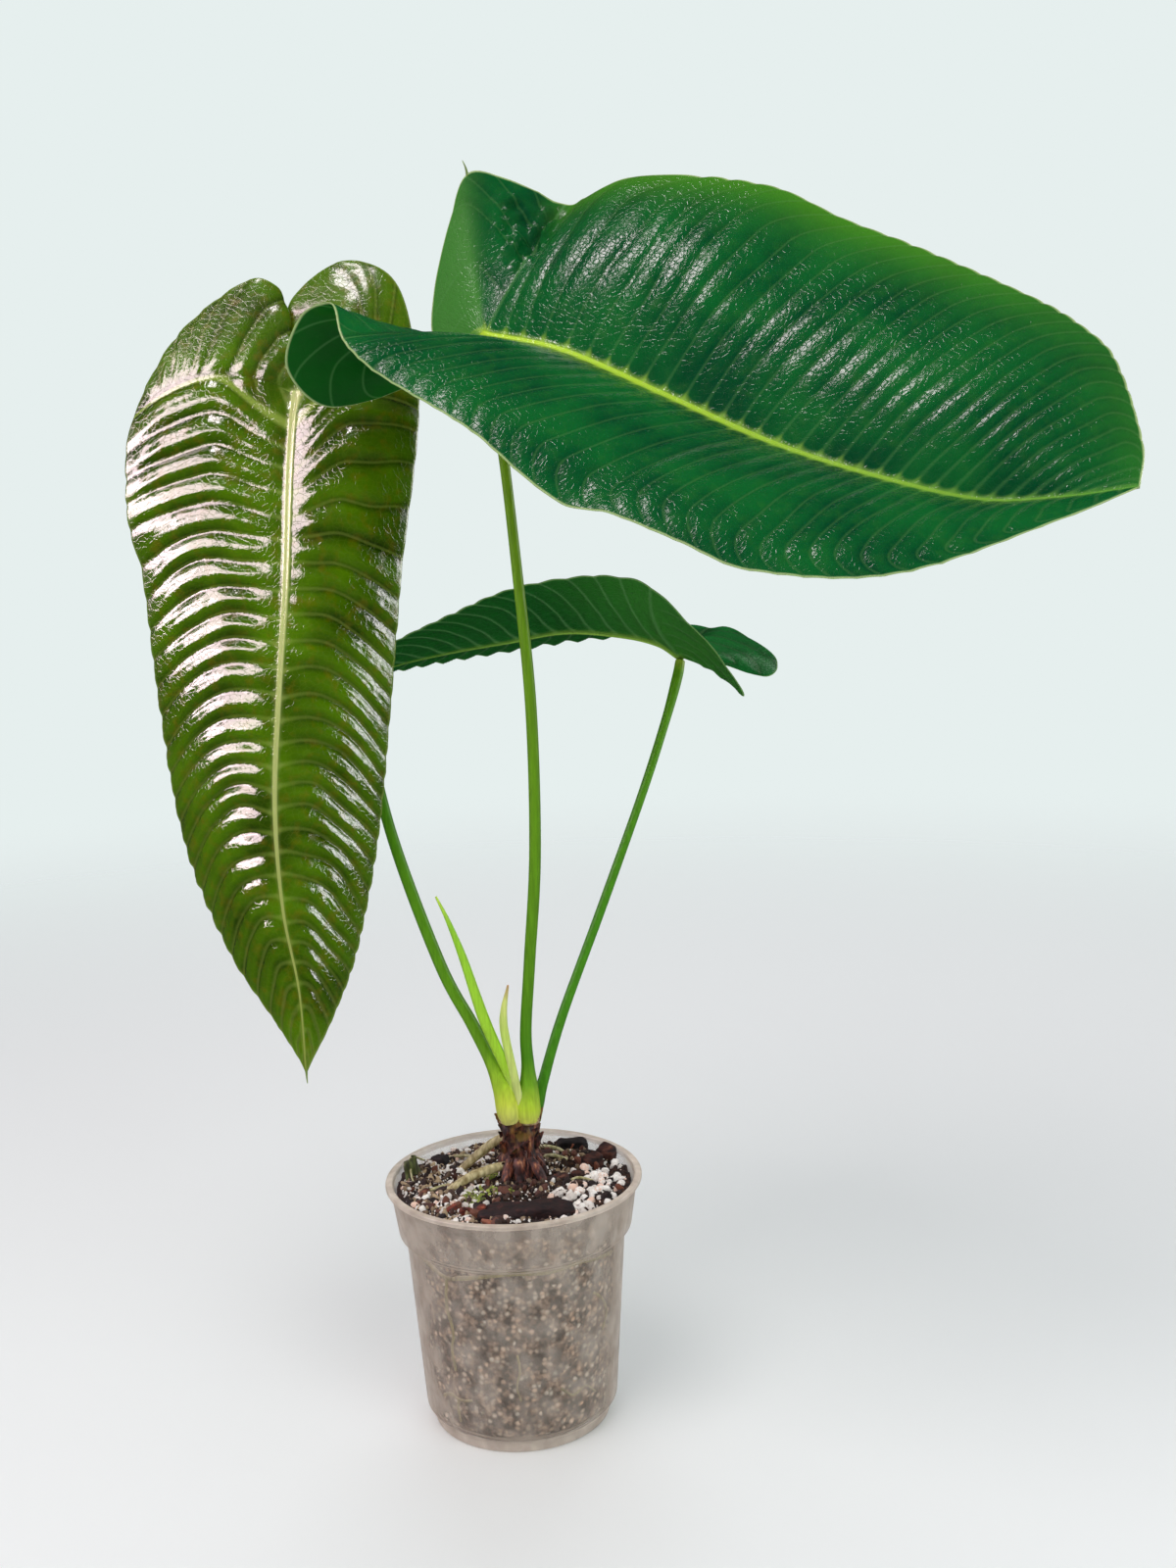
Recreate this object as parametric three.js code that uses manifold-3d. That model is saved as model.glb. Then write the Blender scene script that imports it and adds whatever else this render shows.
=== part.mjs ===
// A king anthurium growing in a clear twelve centimetre nursery pot, in millimetres with Z up.
// The origin is the middle of the pot's underside, and the plant is seen from -Y.
import * as THREE from "three";
import { mergeVertices } from "three/addons/utils/BufferGeometryUtils.js";
import Module from "manifold-3d";

const wasm = await Module();
wasm.setup();

// The space that two touching pieces keep.
const fitGap = 0.3;

// The pot: thin moulded plastic, with a lip, a deeper rim band, a tapering wall and a raised foot ring.
const pot = {
  height: 116.8,
  lipRadius: 60,
  lipHeight: 2.2,
  bandTopRadius: 57.8,
  bandBottomRadius: 54.6,
  bandBottom: 93,
  stepDrop: 2.4,
  wallTopRadius: 51.4,
  wallBottomRadius: 45.4,
  cornerHeight: 8.5,
  footRadius: 41.6,
  footHeight: 4.6,
  padRadius: 22,
  floorRise: 3,
  wall: 1.1,
  drainHoles: 6,
  drainRadius: 3.2,
  segments: 36,
};

// The potting mix: its level below the lip, the swell round the stem, and the bark in it.
const mix = {
  level: 111.6,
  frontRise: 2,
  stemSwell: 2.2,
  roughness: 1.3,
  chips: 20,
  chipSize: [4, 8],
  segments: 28,
  seed: 11,
};

// Places on the mix with no loose bark, as x, y and radius: the stem and the two surface roots.
const bareMix = [
  [3, 9, 15],
  [-16, 13, 15],
  [-20, -4, 16],
];

// The drift of white grains on the mix, along the wall on the right. Its ends are angles in degrees.
const perlite = {
  from: -58,
  to: 1,
  innerRadius: 30.5,
  outerRadius: 49.5,
  spacing: 6.4,
  scatter: 0.7,
  grainRadius: [3.6, 4.3],
  sink: 2.6,
  seed: 5,
};

// The large dark bark chunk at the front of the pot.
const frontBark = { centre: [6, -39, 108.5], size: [42, 9, 14], lean: 0.3 };

// The stem: where it stands, and its radius at each height.
const stem = {
  foot: [3, 9],
  profile: [
    [88, 3],
    [100, 7],
    [110, 11.5],
    [114, 10.5],
    [121, 8.2],
    [129, 7.4],
    [136, 8.2],
    [141, 7.6],
    [144.5, 4.5],
  ],
  seed: 23,
};

// Shreds of old husk on the stem, as angle and height, and the old roots that brace its foot.
const husks = [
  [176, 139],
  [-8, 140],
  [205, 127],
  [-110, 125],
  [-20, 129],
  [140, 131],
  [70, 128],
  [-65, 116],
  [-150, 117],
  [110, 120],
];
const braces = [
  [-48, 17],
  [-128, 15],
  [80, 14],
];

// Centre lines as x, y, z and radius.
const petioles = {
  left: [
    [-1.3, 6.5, 142.5, 4.3],
    [-1.8, 6, 149, 4.8],
    [-4, 6, 158, 3.8],
    [-9, 6.3, 170, 3],
    [-17, 7, 188, 2.9],
    [-31, 9, 217, 2.8],
    [-51, 14, 278, 2.6],
    [-62, 20, 333, 2.5],
    [-70, 27, 383, 2.5],
    [-77, 35, 427, 2.6],
    [-83, 38, 462, 3],
    [-84.8, 28.6, 476.2, 2.8],
  ],
  middle: [
    [7.2, 5.5, 142.5, 5.2],
    [7.4, 5.5, 148, 5.8],
    [8.4, 5.5, 157, 4.2],
    [8.3, 5.2, 168, 3],
    [8, 5, 185, 2.7],
    [11, 4, 218, 2.7],
    [15.5, 3, 270, 2.7],
    [16, 4, 337, 2.6],
    [12, 6, 398, 2.4],
    [8, 6, 448, 2.3],
    [4, 4, 480, 2.8],
    [2, 1, 499, 2.8],
  ],
  right: [
    [10.5, 12, 138, 2.6],
    [11.8, 13.2, 146, 3.2],
    [15, 15, 157, 2.6],
    [25, 24, 186, 2.3],
    [45, 40, 233, 2.2],
    [67, 58, 286, 2.1],
    [80, 72, 320, 2.2],
    [86.6, 80.2, 340, 2.6],
    [88.6, 84, 348.1, 2.4],
  ],
};

// How finely a petiole is cut into sides and lengths.
const petioleMesh = { sides: 8, steps: 20 };

const newLeafLine = [
  [3, 0.2, 146, 1.8],
  [1, 0, 158, 2.4],
  [-3.5, -1, 172, 2.6],
  [-11, -2, 193, 2.6],
  [-19, -3, 222, 1.9],
  [-25, -4, 240, 1.1],
  [-30, -5, 252, 0.5],
];

const cataphyllLine = [
  [5.5, -1.6, 146, 1.2],
  [3, -2.2, 158, 2.2],
  [-2, -3, 184, 2.1],
  [-2, -3.6, 196, 1.6],
  [1, -4.4, 209, 0.45],
];

const surfaceRoots = {
  upper: [
    [-4, 9, 132, 1.8],
    [-11, 12, 127, 2.1],
    [-19, 15, 119.8, 2.1],
    [-27, 17, 112, 1.6],
  ],
  lower: [
    [-4, 4, 119.5, 1.8],
    [-12, 0, 119, 2.2],
    [-22, -5, 117, 2.1],
    [-33, -11, 111.5, 1.6],
  ],
};

// The root that runs round against the wall, just under the rim band: start and end angle in degrees.
const wallRoot = { from: 190, to: 335, level: 86, radius: 1.5, sway: 2.5, clearance: 0.55 };

// Each leaf lists its midrib and the two margins by vein number, counted from the notch to the tip.
// Up to vein "basal" the veins fan out of the petiole's top, and the others leave the midrib.
// A margin row is: vein, margin x y z, then how far the blade swells between midrib and margin.
const leaves = {
  leaf_left: {
    veins: 30,
    basal: 5,
    upper: [0, -1, 0.2],
    thickness: 1,
    pleat: 3.4,
    marginPleat: 0.45,
    ribRadius: 2.7,
    keel: 2.4,
    midrib: [
      [5, -85, 25, 478],
      [8, -86.5, 6, 441],
      [12, -88, -11, 394],
      [16, -92, -21, 348],
      [20, -95.5, -28, 300],
      [24, -94, -33, 254],
      [27, -89, -35, 218],
      [30, -88, -36, 181],
    ],
    left: [
      [0, -88, 27, 484, 0, 0, 0],
      [1, -93, 35, 502, 0, 0, 0],
      [2, -91, 44, 521, 2, -2, 0],
      [2.5, -96, 46, 530, 2, -3, 0],
      [3, -109, 47, 532, 2, -3, 2],
      [4, -141, 40, 507, 2, -4, 8],
      [5, -160, 28, 471, 0, -4, 13],
      [7, -162, 15, 439, 0, -5, 11],
      [9, -160, 10, 418, 0, -6, 9],
      [10, -156, 8, 404, 0, -6, 9],
      [15, -150, -1, 343, 0, -6, 9],
      [20, -141, -8, 280, 0, -6, 9],
      [24, -122, -18, 232, 0, -5, 7],
      [27, -101, -29, 202, 0, -2, 4],
      [29, -91, -34, 187, 0, 0, 1],
      [30, -88, -36, 181, 0, 0, 0],
    ],
    right: [
      [0, -82, 27, 484, 0, 0, 0],
      [1, -88, 39, 502, 0, 0, 0],
      [2, -89, 47, 522, 0, -2, 0],
      [3, -69, 52, 539, -1, -3, 2],
      [3.5, -54, 50, 539, -2, -3, 4],
      [4, -40, 43, 529, -2, -4, 6],
      [4.5, -33, 34, 508, -1, -4, 8],
      [5, -30, 25, 484, 0, -4, 10],
      [7, -31, 15, 455, 0, -5, 9],
      [10, -39, 5, 402, 0, -6, 8],
      [15, -47, -3, 335, 0, -6, 9],
      [20, -55, -8, 278, 0, -6, 9],
      [24, -66, -19, 229, 0, -5, 7],
      [27, -77, -29, 202, 0, -2, 4],
      [29, -85, -34, 187, 0, 0, 1],
      [30, -88, -36, 181, 0, 0, 0],
    ],
  },
  leaf_right: {
    veins: 30,
    basal: 5,
    upper: [-0.3, -0.8, 0.5],
    thickness: 1,
    pleat: 1.9,
    marginPleat: 0.5,
    ribRadius: 2.4,
    keel: 2.2,
    midrib: [
      [5, 2, 0, 499],
      [8, 36, -20, 489],
      [12, 79, -43, 467],
      [16, 119, -67, 446],
      [20, 157, -90, 431],
      [24, 193, -107, 421],
      [27, 220, -118, 421],
      [30, 247, -124, 424],
    ],
    left: [
      [0, 0, 5, 502, 0, 0, 0],
      [1, -20, 14, 500, 0, 0, 0],
      [2, -21, 26, 521, 0, 0, 0],
      [3, -12, 37, 558, 0, 3, 0],
      [3.6, -4, 40, 575, 0, 6, 0],
      [4.2, 14, 44, 572, 0, 3, 0],
      [5, 39, 46, 561, -2, -3, 0],
      [6, 49, 45, 564, -4, -3, 2],
      [8, 72, 39, 571, -6, -4, 3],
      [12, 129, 14, 560, -8, -5, 5],
      [14, 159, 1, 543, -8, -5, 5],
      [16, 186, -17, 528, -9, -5, 5],
      [20, 226, -54, 501, -8, -4, 5],
      [22, 240, -71, 488, -7, -4, 5],
      [24, 249, -85, 474, -6, -3, 4],
      [28, 252, -112, 439, -2, 0, 1],
      [30, 247, -124, 424, 0, 0, 0],
    ],
    right: [
      [0, -1, 2, 494, 0, 0, 0],
      [1, -36, 6, 478, 0, 0, 0],
      [2, -68, -6, 471, 0, 0, 3],
      [2.7, -82, -15, 487, 0, 4, 0],
      [3.4, -74, -21, 507, 0, 4, -3],
      [4, -60, -29, 511, 0, 1, -4],
      [4.6, -55, -42, 498, 0, -4, 0],
      [6, -50, -51, 490, 2, -6, 3],
      [8, -38, -60, 479, 2, -5, 4],
      [12, 0, -86, 454, 0, -4, 5],
      [14, 22, -102, 434, -1, -4, 5],
      [15, 36, -110, 424, -1, -4, 5],
      [16, 51, -118, 421, -2, -4, 5],
      [18, 76, -131, 410, -3, -4, 5],
      [20, 100, -141, 399, -4, -4, 5],
      [24, 153, -148, 396, -4, -3, 4],
      [28, 217, -136, 414, -1, 0, 1],
      [30, 247, -124, 424, 0, 0, 0],
    ],
  },
  leaf_back: {
    veins: 22,
    basal: 4,
    upper: [0, 0.4, 0.9],
    thickness: 1,
    pleat: 1.7,
    marginPleat: 0.9,
    ribRadius: 1.9,
    keel: 1.8,
    midrib: [
      [4, 89, 85, 350],
      [5, 79, 85, 357],
      [7, 61, 84, 362],
      [10, 32, 81, 365],
      [13, 3, 79, 361],
      [16, -25, 76.5, 357],
      [19, -54, 75, 351],
      [22, -83, 73, 341],
    ],
    left: [
      [0, 92, 82, 349, 0, 0, 0],
      [1, 107, 67, 343, 0, 0, 2],
      [1.8, 117, 53, 333, 0, 0, 3],
      [2.6, 104, 43, 354, 0, 0, 2],
      [3.4, 85, 34, 375, -3, 2, 2],
      [4, 73, 30, 387, -5, 0, 0],
      [5, 60, 28, 392, -4, -2, 0],
      [7, 39, 27, 393, -3, -2, 0],
      [10, 7, 31, 388, -2, -2, 0],
      [13, -21, 39, 377, 0, -2, 0],
      [16, -48, 51, 365, 0, -1, 0],
      [19, -70, 64, 351, 0, 0, 0],
      [22, -83, 73, 341, 0, 0, 0],
    ],
    right: [
      [0, 92, 89, 350, 0, 0, 0],
      [1, 114, 106, 343, 0, 0, 3],
      [1.8, 135, 116, 336, 0, 0, 4],
      [2.6, 141, 125, 344, 0, 0, 3],
      [3.4, 123, 138, 358, 0, 0, 2],
      [4, 108, 144, 361, 0, 0, 2],
      [5, 92, 150, 360, 0, 0, 2],
      [7, 71, 154, 357, 0, 0, 3],
      [10, 34, 150, 355, 2, 0, 3],
      [13, -2, 141, 351, 2, 0, 3],
      [16, -36, 122, 348, 1, 0, 2],
      [19, -62, 99, 345, 0, 0, 1],
      [22, -83, 73, 341, 0, 0, 0],
    ],
  },
};

const finishes = {
  pot: { color: "#c9c4bc", roughness: 0.35 },
  mix: { color: "#3a2820", roughness: 0.95 },
  perlite: { color: "#e9e4df", roughness: 0.9 },
  bark: { color: "#3b1d16", roughness: 0.9 },
  stem: { color: "#4a2a1a", roughness: 0.85 },
  root: { color: "#b9a878", roughness: 0.7 },
  greenLeaf: { color: "#0b653a", roughness: 0.35 },
  bronzeLeaf: { color: "#48650b", roughness: 0.25 },
  petiole: { color: "#5f8c19", roughness: 0.45 },
  newLeaf: { color: "#9ccb3a", roughness: 0.4 },
};

// A number from 0 to 1 at each call, the same in every run.
function seeded(seed) {
  let state = seed;
  return () => {
    state = (state * 16807) % 2147483647;
    return state / 2147483647;
  };
}

function smooth(value) {
  const t = Math.min(1, Math.max(0, value));
  return t * t * (3 - 2 * t);
}

// A smooth curve through rows of [knot, ...numbers]: gives the numbers at any knot value.
function through(rows) {
  const last = rows.length - 1;
  const slope = (row, column) => {
    const before = rows[Math.max(0, row - 1)];
    const after = rows[Math.min(last, row + 1)];
    return (after[column] - before[column]) / (after[0] - before[0]);
  };
  return (knot) => {
    let row = 0;
    while (row < last - 1 && knot > rows[row + 1][0]) row += 1;
    const step = rows[row + 1][0] - rows[row][0];
    const t = (knot - rows[row][0]) / step;
    const leave = t * (1 - t) * (1 - t) * step;
    const arrive = t * t * (t - 1) * step;
    const blend = t * t * (3 - 2 * t);
    return rows[row].slice(1).map((from, index) => {
      const column = index + 1;
      const to = rows[row + 1][column];
      return from + (to - from) * blend + leave * slope(row, column) + arrive * slope(row + 1, column);
    });
  };
}

function numbered(rows) {
  return rows.map((row, index) => [index, ...row]);
}

// A closed mesh as a solid that can be joined and cut.
function solidOf(geometry) {
  const bare = geometry.clone();
  bare.deleteAttribute("normal");
  bare.deleteAttribute("uv");
  const merged = mergeVertices(bare, 1e-4);
  return new wasm.Manifold(
    new wasm.Mesh({
      numProp: 3,
      vertProperties: new Float32Array(merged.attributes.position.array),
      triVerts: new Uint32Array(merged.index.array),
    }),
  );
}

function geometryOf(solid) {
  const mesh = solid.getMesh();
  const geometry = new THREE.BufferGeometry();
  geometry.setAttribute("position", new THREE.BufferAttribute(mesh.vertProperties.slice(), 3));
  geometry.setIndex(new THREE.BufferAttribute(mesh.triVerts.slice(), 1));
  geometry.computeVertexNormals();
  return geometry;
}

function indexed(points, faces) {
  const geometry = new THREE.BufferGeometry().setFromPoints(points);
  geometry.setIndex(faces.flat());
  return geometry;
}

// Of what a cut leaves, the largest piece.
function largest(solid) {
  return solid.decompose().reduce((most, piece) => (piece.volume() > most.volume() ? piece : most));
}

// A closed tube through rows of [x, y, z, radius]. "shape" scales the radius by angle and length.
function tube(rows, { sides = 8, steps = 24, pad = 0, flat = 1, shape = () => 1 } = {}) {
  const line = through(numbered(rows));
  const last = rows.length - 1;
  const points = [];
  const faces = [];
  let across = new THREE.Vector3(0, -1, 0);
  for (let step = 0; step <= steps; step += 1) {
    const knot = (step / steps) * last;
    const [x, y, z, radius] = line(knot);
    const ahead = line(Math.min(last, knot + 0.02));
    const behind = line(Math.max(0, knot - 0.02));
    const along = new THREE.Vector3(...ahead.slice(0, 3)).sub(new THREE.Vector3(...behind.slice(0, 3)));
    along.normalize();
    across = across.clone().addScaledVector(along, -across.dot(along)).normalize();
    const side = new THREE.Vector3().crossVectors(along, across);
    for (let turn = 0; turn < sides; turn += 1) {
      const angle = (turn / sides) * 2 * Math.PI;
      const reach = radius * shape(angle, step / steps) + pad;
      const point = new THREE.Vector3(x, y, z);
      point.addScaledVector(side, Math.cos(angle) * reach);
      point.addScaledVector(across, Math.sin(angle) * (radius * flat * shape(angle, step / steps) + pad));
      points.push(point);
    }
  }
  for (let step = 0; step < steps; step += 1)
    for (let turn = 0; turn < sides; turn += 1) {
      const here = step * sides + turn;
      const next = step * sides + ((turn + 1) % sides);
      faces.push([here, next + sides, next], [here, here + sides, next + sides]);
    }
  const top = steps * sides;
  for (let turn = 1; turn < sides - 1; turn += 1) {
    faces.push([0, turn, turn + 1]);
    faces.push([top, top + turn + 1, top + turn]);
  }
  return solidOf(indexed(points, faces));
}

// A solid turned round the Z axis from [radius, height] rows.
function turned(profile, segments) {
  const geometry = new THREE.LatheGeometry(
    profile.map(([radius, height]) => new THREE.Vector2(radius, height)),
    segments,
  );
  geometry.rotateX(Math.PI / 2);
  return geometry;
}

// The outer face of the pot from the foot to the lip, as [radius, height].
function potOutside() {
  return [
    [pot.footRadius, 0],
    [pot.footRadius + 0.5, pot.footHeight],
    [pot.wallBottomRadius, pot.cornerHeight],
    [pot.wallTopRadius, pot.bandBottom - pot.stepDrop],
    [pot.bandBottomRadius, pot.bandBottom],
    [pot.bandTopRadius, pot.height - pot.lipHeight],
    [pot.lipRadius, pot.height - pot.lipHeight],
    [pot.lipRadius, pot.height],
  ];
}

// The inner face of the pot from the lip down to the floor.
function potInside() {
  return [
    [pot.bandTopRadius - pot.wall, pot.height],
    [pot.bandBottomRadius - pot.wall, pot.bandBottom + 0.6],
    [pot.wallTopRadius - pot.wall, pot.bandBottom - pot.stepDrop + 0.6],
    [pot.wallBottomRadius - pot.wall, pot.cornerHeight + 0.6],
    [pot.footRadius - pot.wall, pot.footHeight + pot.wall],
  ];
}

function makePot() {
  const ceiling = pot.floorRise + pot.wall;
  const shell = solidOf(
    turned(
      [
        [0, 0],
        [pot.padRadius, 0],
        [pot.padRadius + 1, pot.floorRise],
        [pot.footRadius - 4, pot.floorRise],
        [pot.footRadius - 3, 0],
        ...potOutside(),
        ...potInside(),
        [pot.footRadius - 3, ceiling],
        [pot.padRadius - 1, ceiling],
        [pot.padRadius - 2, pot.wall],
        [0, pot.wall],
      ],
      pot.segments,
    ),
  );
  const ring = (pot.padRadius + pot.footRadius - 3) / 2;
  const holes = Array.from({ length: pot.drainHoles }, (unused, index) => {
    const angle = (index / pot.drainHoles) * 2 * Math.PI;
    const drill = new THREE.CylinderGeometry(pot.drainRadius, pot.drainRadius, 4 * pot.wall, 8);
    drill.rotateX(Math.PI / 2);
    drill.translate(ring * Math.cos(angle), ring * Math.sin(angle), pot.floorRise + pot.wall / 2);
    return solidOf(drill);
  });
  return holes.reduce((left, hole) => left.subtract(hole), shell);
}

// The height of the mix: higher at the front and round the stem, and lumpy everywhere.
function mixTop(x, y) {
  const fromStem = Math.hypot(x - stem.foot[0], y - stem.foot[1]);
  const lumps =
    Math.sin(x * 0.31 + 1.3) * Math.cos(y * 0.27 - 0.4) + 0.6 * Math.sin(x * 0.71 - y * 0.53 + 2.1);
  const front = pot.bandTopRadius;
  return (
    mix.level +
    mix.frontRise * smooth((front - y) / (2 * front)) +
    mix.stemSwell * Math.exp(-((fromStem / 15) ** 2)) +
    mix.roughness * 0.6 * lumps
  );
}

function makeMix(pad) {
  const inside = potInside();
  const inset = (radius) => radius - 2 * fitGap;
  const sides = [...inside].reverse().map(([radius, height]) => [inset(radius), height + fitGap]);
  const topRadius = inset(pot.bandTopRadius - pot.wall - 0.9);
  const rings = [1, 0.88, 0.74, 0.6, 0.46, 0.32, 0.18];
  sides.pop();
  const bottom = pot.floorRise + pot.wall + fitGap;
  const profile = [
    [0, bottom],
    [sides[0][0] - 2.4, bottom],
    ...sides,
    ...rings.map((share) => [topRadius * share, pot.height]),
    [0, pot.height],
  ];
  const geometry = turned(profile, mix.segments);
  const place = geometry.attributes.position;
  for (let index = 0; index < place.count; index += 1)
    if (place.getZ(index) > pot.height - 0.01)
      place.setZ(index, mixTop(place.getX(index), place.getY(index)) + pad);
  let body = solidOf(geometry);
  const random = seeded(mix.seed);
  const [small, large] = mix.chipSize;
  for (let index = 0; index < mix.chips; index += 1) {
    const angle = random() * 2 * Math.PI;
    const away = Math.sqrt(random()) * (topRadius - large * 0.75);
    const size = small + (large - small) * random();
    const chip = new THREE.BoxGeometry(size * 1.3 + 2 * pad, size + 2 * pad, size * 0.55 + 2 * pad);
    chip.rotateX((random() - 0.5) * 1.4);
    chip.rotateZ(random() * Math.PI);
    const x = away * Math.cos(angle);
    const y = away * Math.sin(angle);
    const turn = THREE.MathUtils.radToDeg(Math.atan2(y, x));
    const inDrift = turn > perlite.from && turn < perlite.to && away > perlite.innerRadius - large / 2;
    const onBare = bareMix.some(([atX, atY, reach]) => Math.hypot(x - atX, y - atY) < reach);
    chip.translate(x, y, mixTop(x, y) - 0.2);
    if (!inDrift && !onBare) body = body.add(solidOf(chip));
  }
  return body;
}

// Grains in staggered arcs, each a little out of line and sunk into the mix, fused where they touch.
function makePerlite() {
  const random = seeded(perlite.seed);
  const [smallest, biggest] = perlite.grainRadius;
  const arcs = Math.round((perlite.outerRadius - perlite.innerRadius) / (0.87 * perlite.spacing));
  let drift;
  for (let arc = 0; arc <= arcs; arc += 1) {
    const away = perlite.innerRadius + ((perlite.outerRadius - perlite.innerRadius) * arc) / arcs;
    const turn = THREE.MathUtils.radToDeg(perlite.spacing / away);
    for (let degrees = perlite.from + (arc % 2) * 0.5 * turn; degrees < perlite.to; degrees += turn) {
      const angle = THREE.MathUtils.degToRad(degrees);
      const x = away * Math.cos(angle) + perlite.scatter * (random() - 0.5);
      const y = away * Math.sin(angle) + perlite.scatter * (random() - 0.5);
      const radius = smallest + (biggest - smallest) * random();
      const grain = new THREE.IcosahedronGeometry(radius, 0);
      grain.rotateX(random() * 3);
      grain.rotateY(random() * 3);
      grain.translate(x, y, mixTop(x, y) + radius - perlite.sink);
      drift = drift ? drift.add(solidOf(grain)) : solidOf(grain);
    }
  }
  return drift;
}

function makeFrontBark(pad) {
  const [length, width, height] = frontBark.size.map((size) => size + 2 * pad);
  const block = new THREE.BoxGeometry(length, width, height, 5, 1, 2);
  const place = block.attributes.position;
  for (let index = 0; index < place.count; index += 1) {
    const x = place.getX(index);
    const z = place.getZ(index);
    const taper = 1 - 0.22 * Math.abs(x / length) - 0.12 * Math.sin(x * 0.4 + z * 0.3);
    place.setY(index, place.getY(index) * taper + 0.006 * x * x);
    place.setZ(index, z * taper);
  }
  block.rotateX(frontBark.lean);
  block.translate(...frontBark.centre);
  return solidOf(block);
}

function makeStem(pad) {
  const [x, y] = stem.foot;
  const rows = stem.profile.map(([height, radius]) => [x, y, height, radius]);
  const knobbly = (angle, share) =>
    1 + 0.09 * Math.sin(3 * angle + 9 * share) + 0.07 * Math.sin(5 * angle - 14 * share);
  let body = tube(rows, { sides: 11, steps: 14, pad, shape: knobbly });
  const random = seeded(stem.seed);
  const outward = (degrees, height) => {
    const angle = THREE.MathUtils.degToRad(degrees);
    return (reach, rise, width) => [
      x + reach * Math.cos(angle),
      y + reach * Math.sin(angle),
      height + rise,
      width,
    ];
  };
  for (const [degrees, height] of husks) {
    const at = outward(degrees, height);
    const shred = [at(3, -4, 3), at(7.4, 0, 2.6), at(9.2 + random(), 2.5, 1.7), at(11 + 2 * random(), 5, 0.5)];
    body = body.add(tube(shred, { sides: 5, steps: 3, flat: 0.4, pad }));
  }
  for (const [degrees, reach] of braces) {
    const at = outward(degrees, 112);
    const brace = [at(2, 12, 2.4), at(8, 9, 2.6), at(reach * 0.8, 3, 2.3), at(reach, -4, 1.6)];
    body = body.add(tube(brace, { sides: 6, steps: 5, pad }));
  }
  return body;
}

function makeWallRoot(pad) {
  const rows = [];
  const stops = 8;
  const taper = (pot.wallTopRadius - pot.wallBottomRadius) / (pot.bandBottom - pot.stepDrop - pot.cornerHeight);
  for (let stop = 0; stop <= stops; stop += 1) {
    const share = stop / stops;
    const angle = THREE.MathUtils.degToRad(wallRoot.from + (wallRoot.to - wallRoot.from) * share);
    const height = wallRoot.level + wallRoot.sway * Math.sin(share * 7);
    const radius = wallRoot.radius * (1 - 0.5 * share * share);
    const wallInside = pot.wallBottomRadius + taper * (height - pot.cornerHeight) - pot.wall;
    const away = wallInside - radius - wallRoot.clearance;
    rows.push([away * Math.cos(angle), away * Math.sin(angle), height, radius]);
  }
  return tube(rows, { sides: 5, steps: 16, pad });
}

// One half of a blade as a function of vein number and of the share of the way from midrib to margin.
function bladeHalf(leaf, rows) {
  const midrib = through(leaf.midrib);
  const margin = through(rows.map((row) => row.slice(0, 4)));
  const swell = through(rows.map((row) => [row[0], ...row.slice(4)]));
  const point = (vein, share) => {
    const root = midrib(Math.max(leaf.basal, vein));
    const edge = margin(vein);
    const lift = swell(vein);
    return new THREE.Vector3(
      ...root.map((value, i) => value * (1 - share) + edge[i] * share + 4 * share * (1 - share) * lift[i]),
    );
  };
  const width = (vein) => point(vein, 0).distanceTo(point(vein, 1));
  const rawNormal = (vein, share) => {
    const at = Math.min(leaf.veins - 0.06, Math.max(0.06, vein));
    const out = Math.min(0.98, Math.max(0.08, share));
    const forward = point(at + 0.05, out).sub(point(at - 0.05, out));
    const outward = point(at, out + 0.02).sub(point(at, out - 0.02));
    return forward.cross(outward).normalize();
  };
  const facing = Math.sign(rawNormal(leaf.veins / 2, 0.5).dot(new THREE.Vector3(...leaf.upper)));
  const normal = (vein, share) => rawNormal(vein, share).multiplyScalar(facing);
  return { point, width, normal, facing };
}

// How far a pleat between two veins stands out of the blade.
function pleatRise(leaf, vein, share, width) {
  const crest = Math.abs(Math.sin(Math.PI * vein)) - 0.5;
  const start = smooth((share - 0.03) / 0.27);
  const fade = 1 - (1 - leaf.marginPleat) * smooth((share - 0.55) / 0.45);
  return leaf.pleat * crest * start * fade * Math.min(1, width / 45);
}

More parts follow.
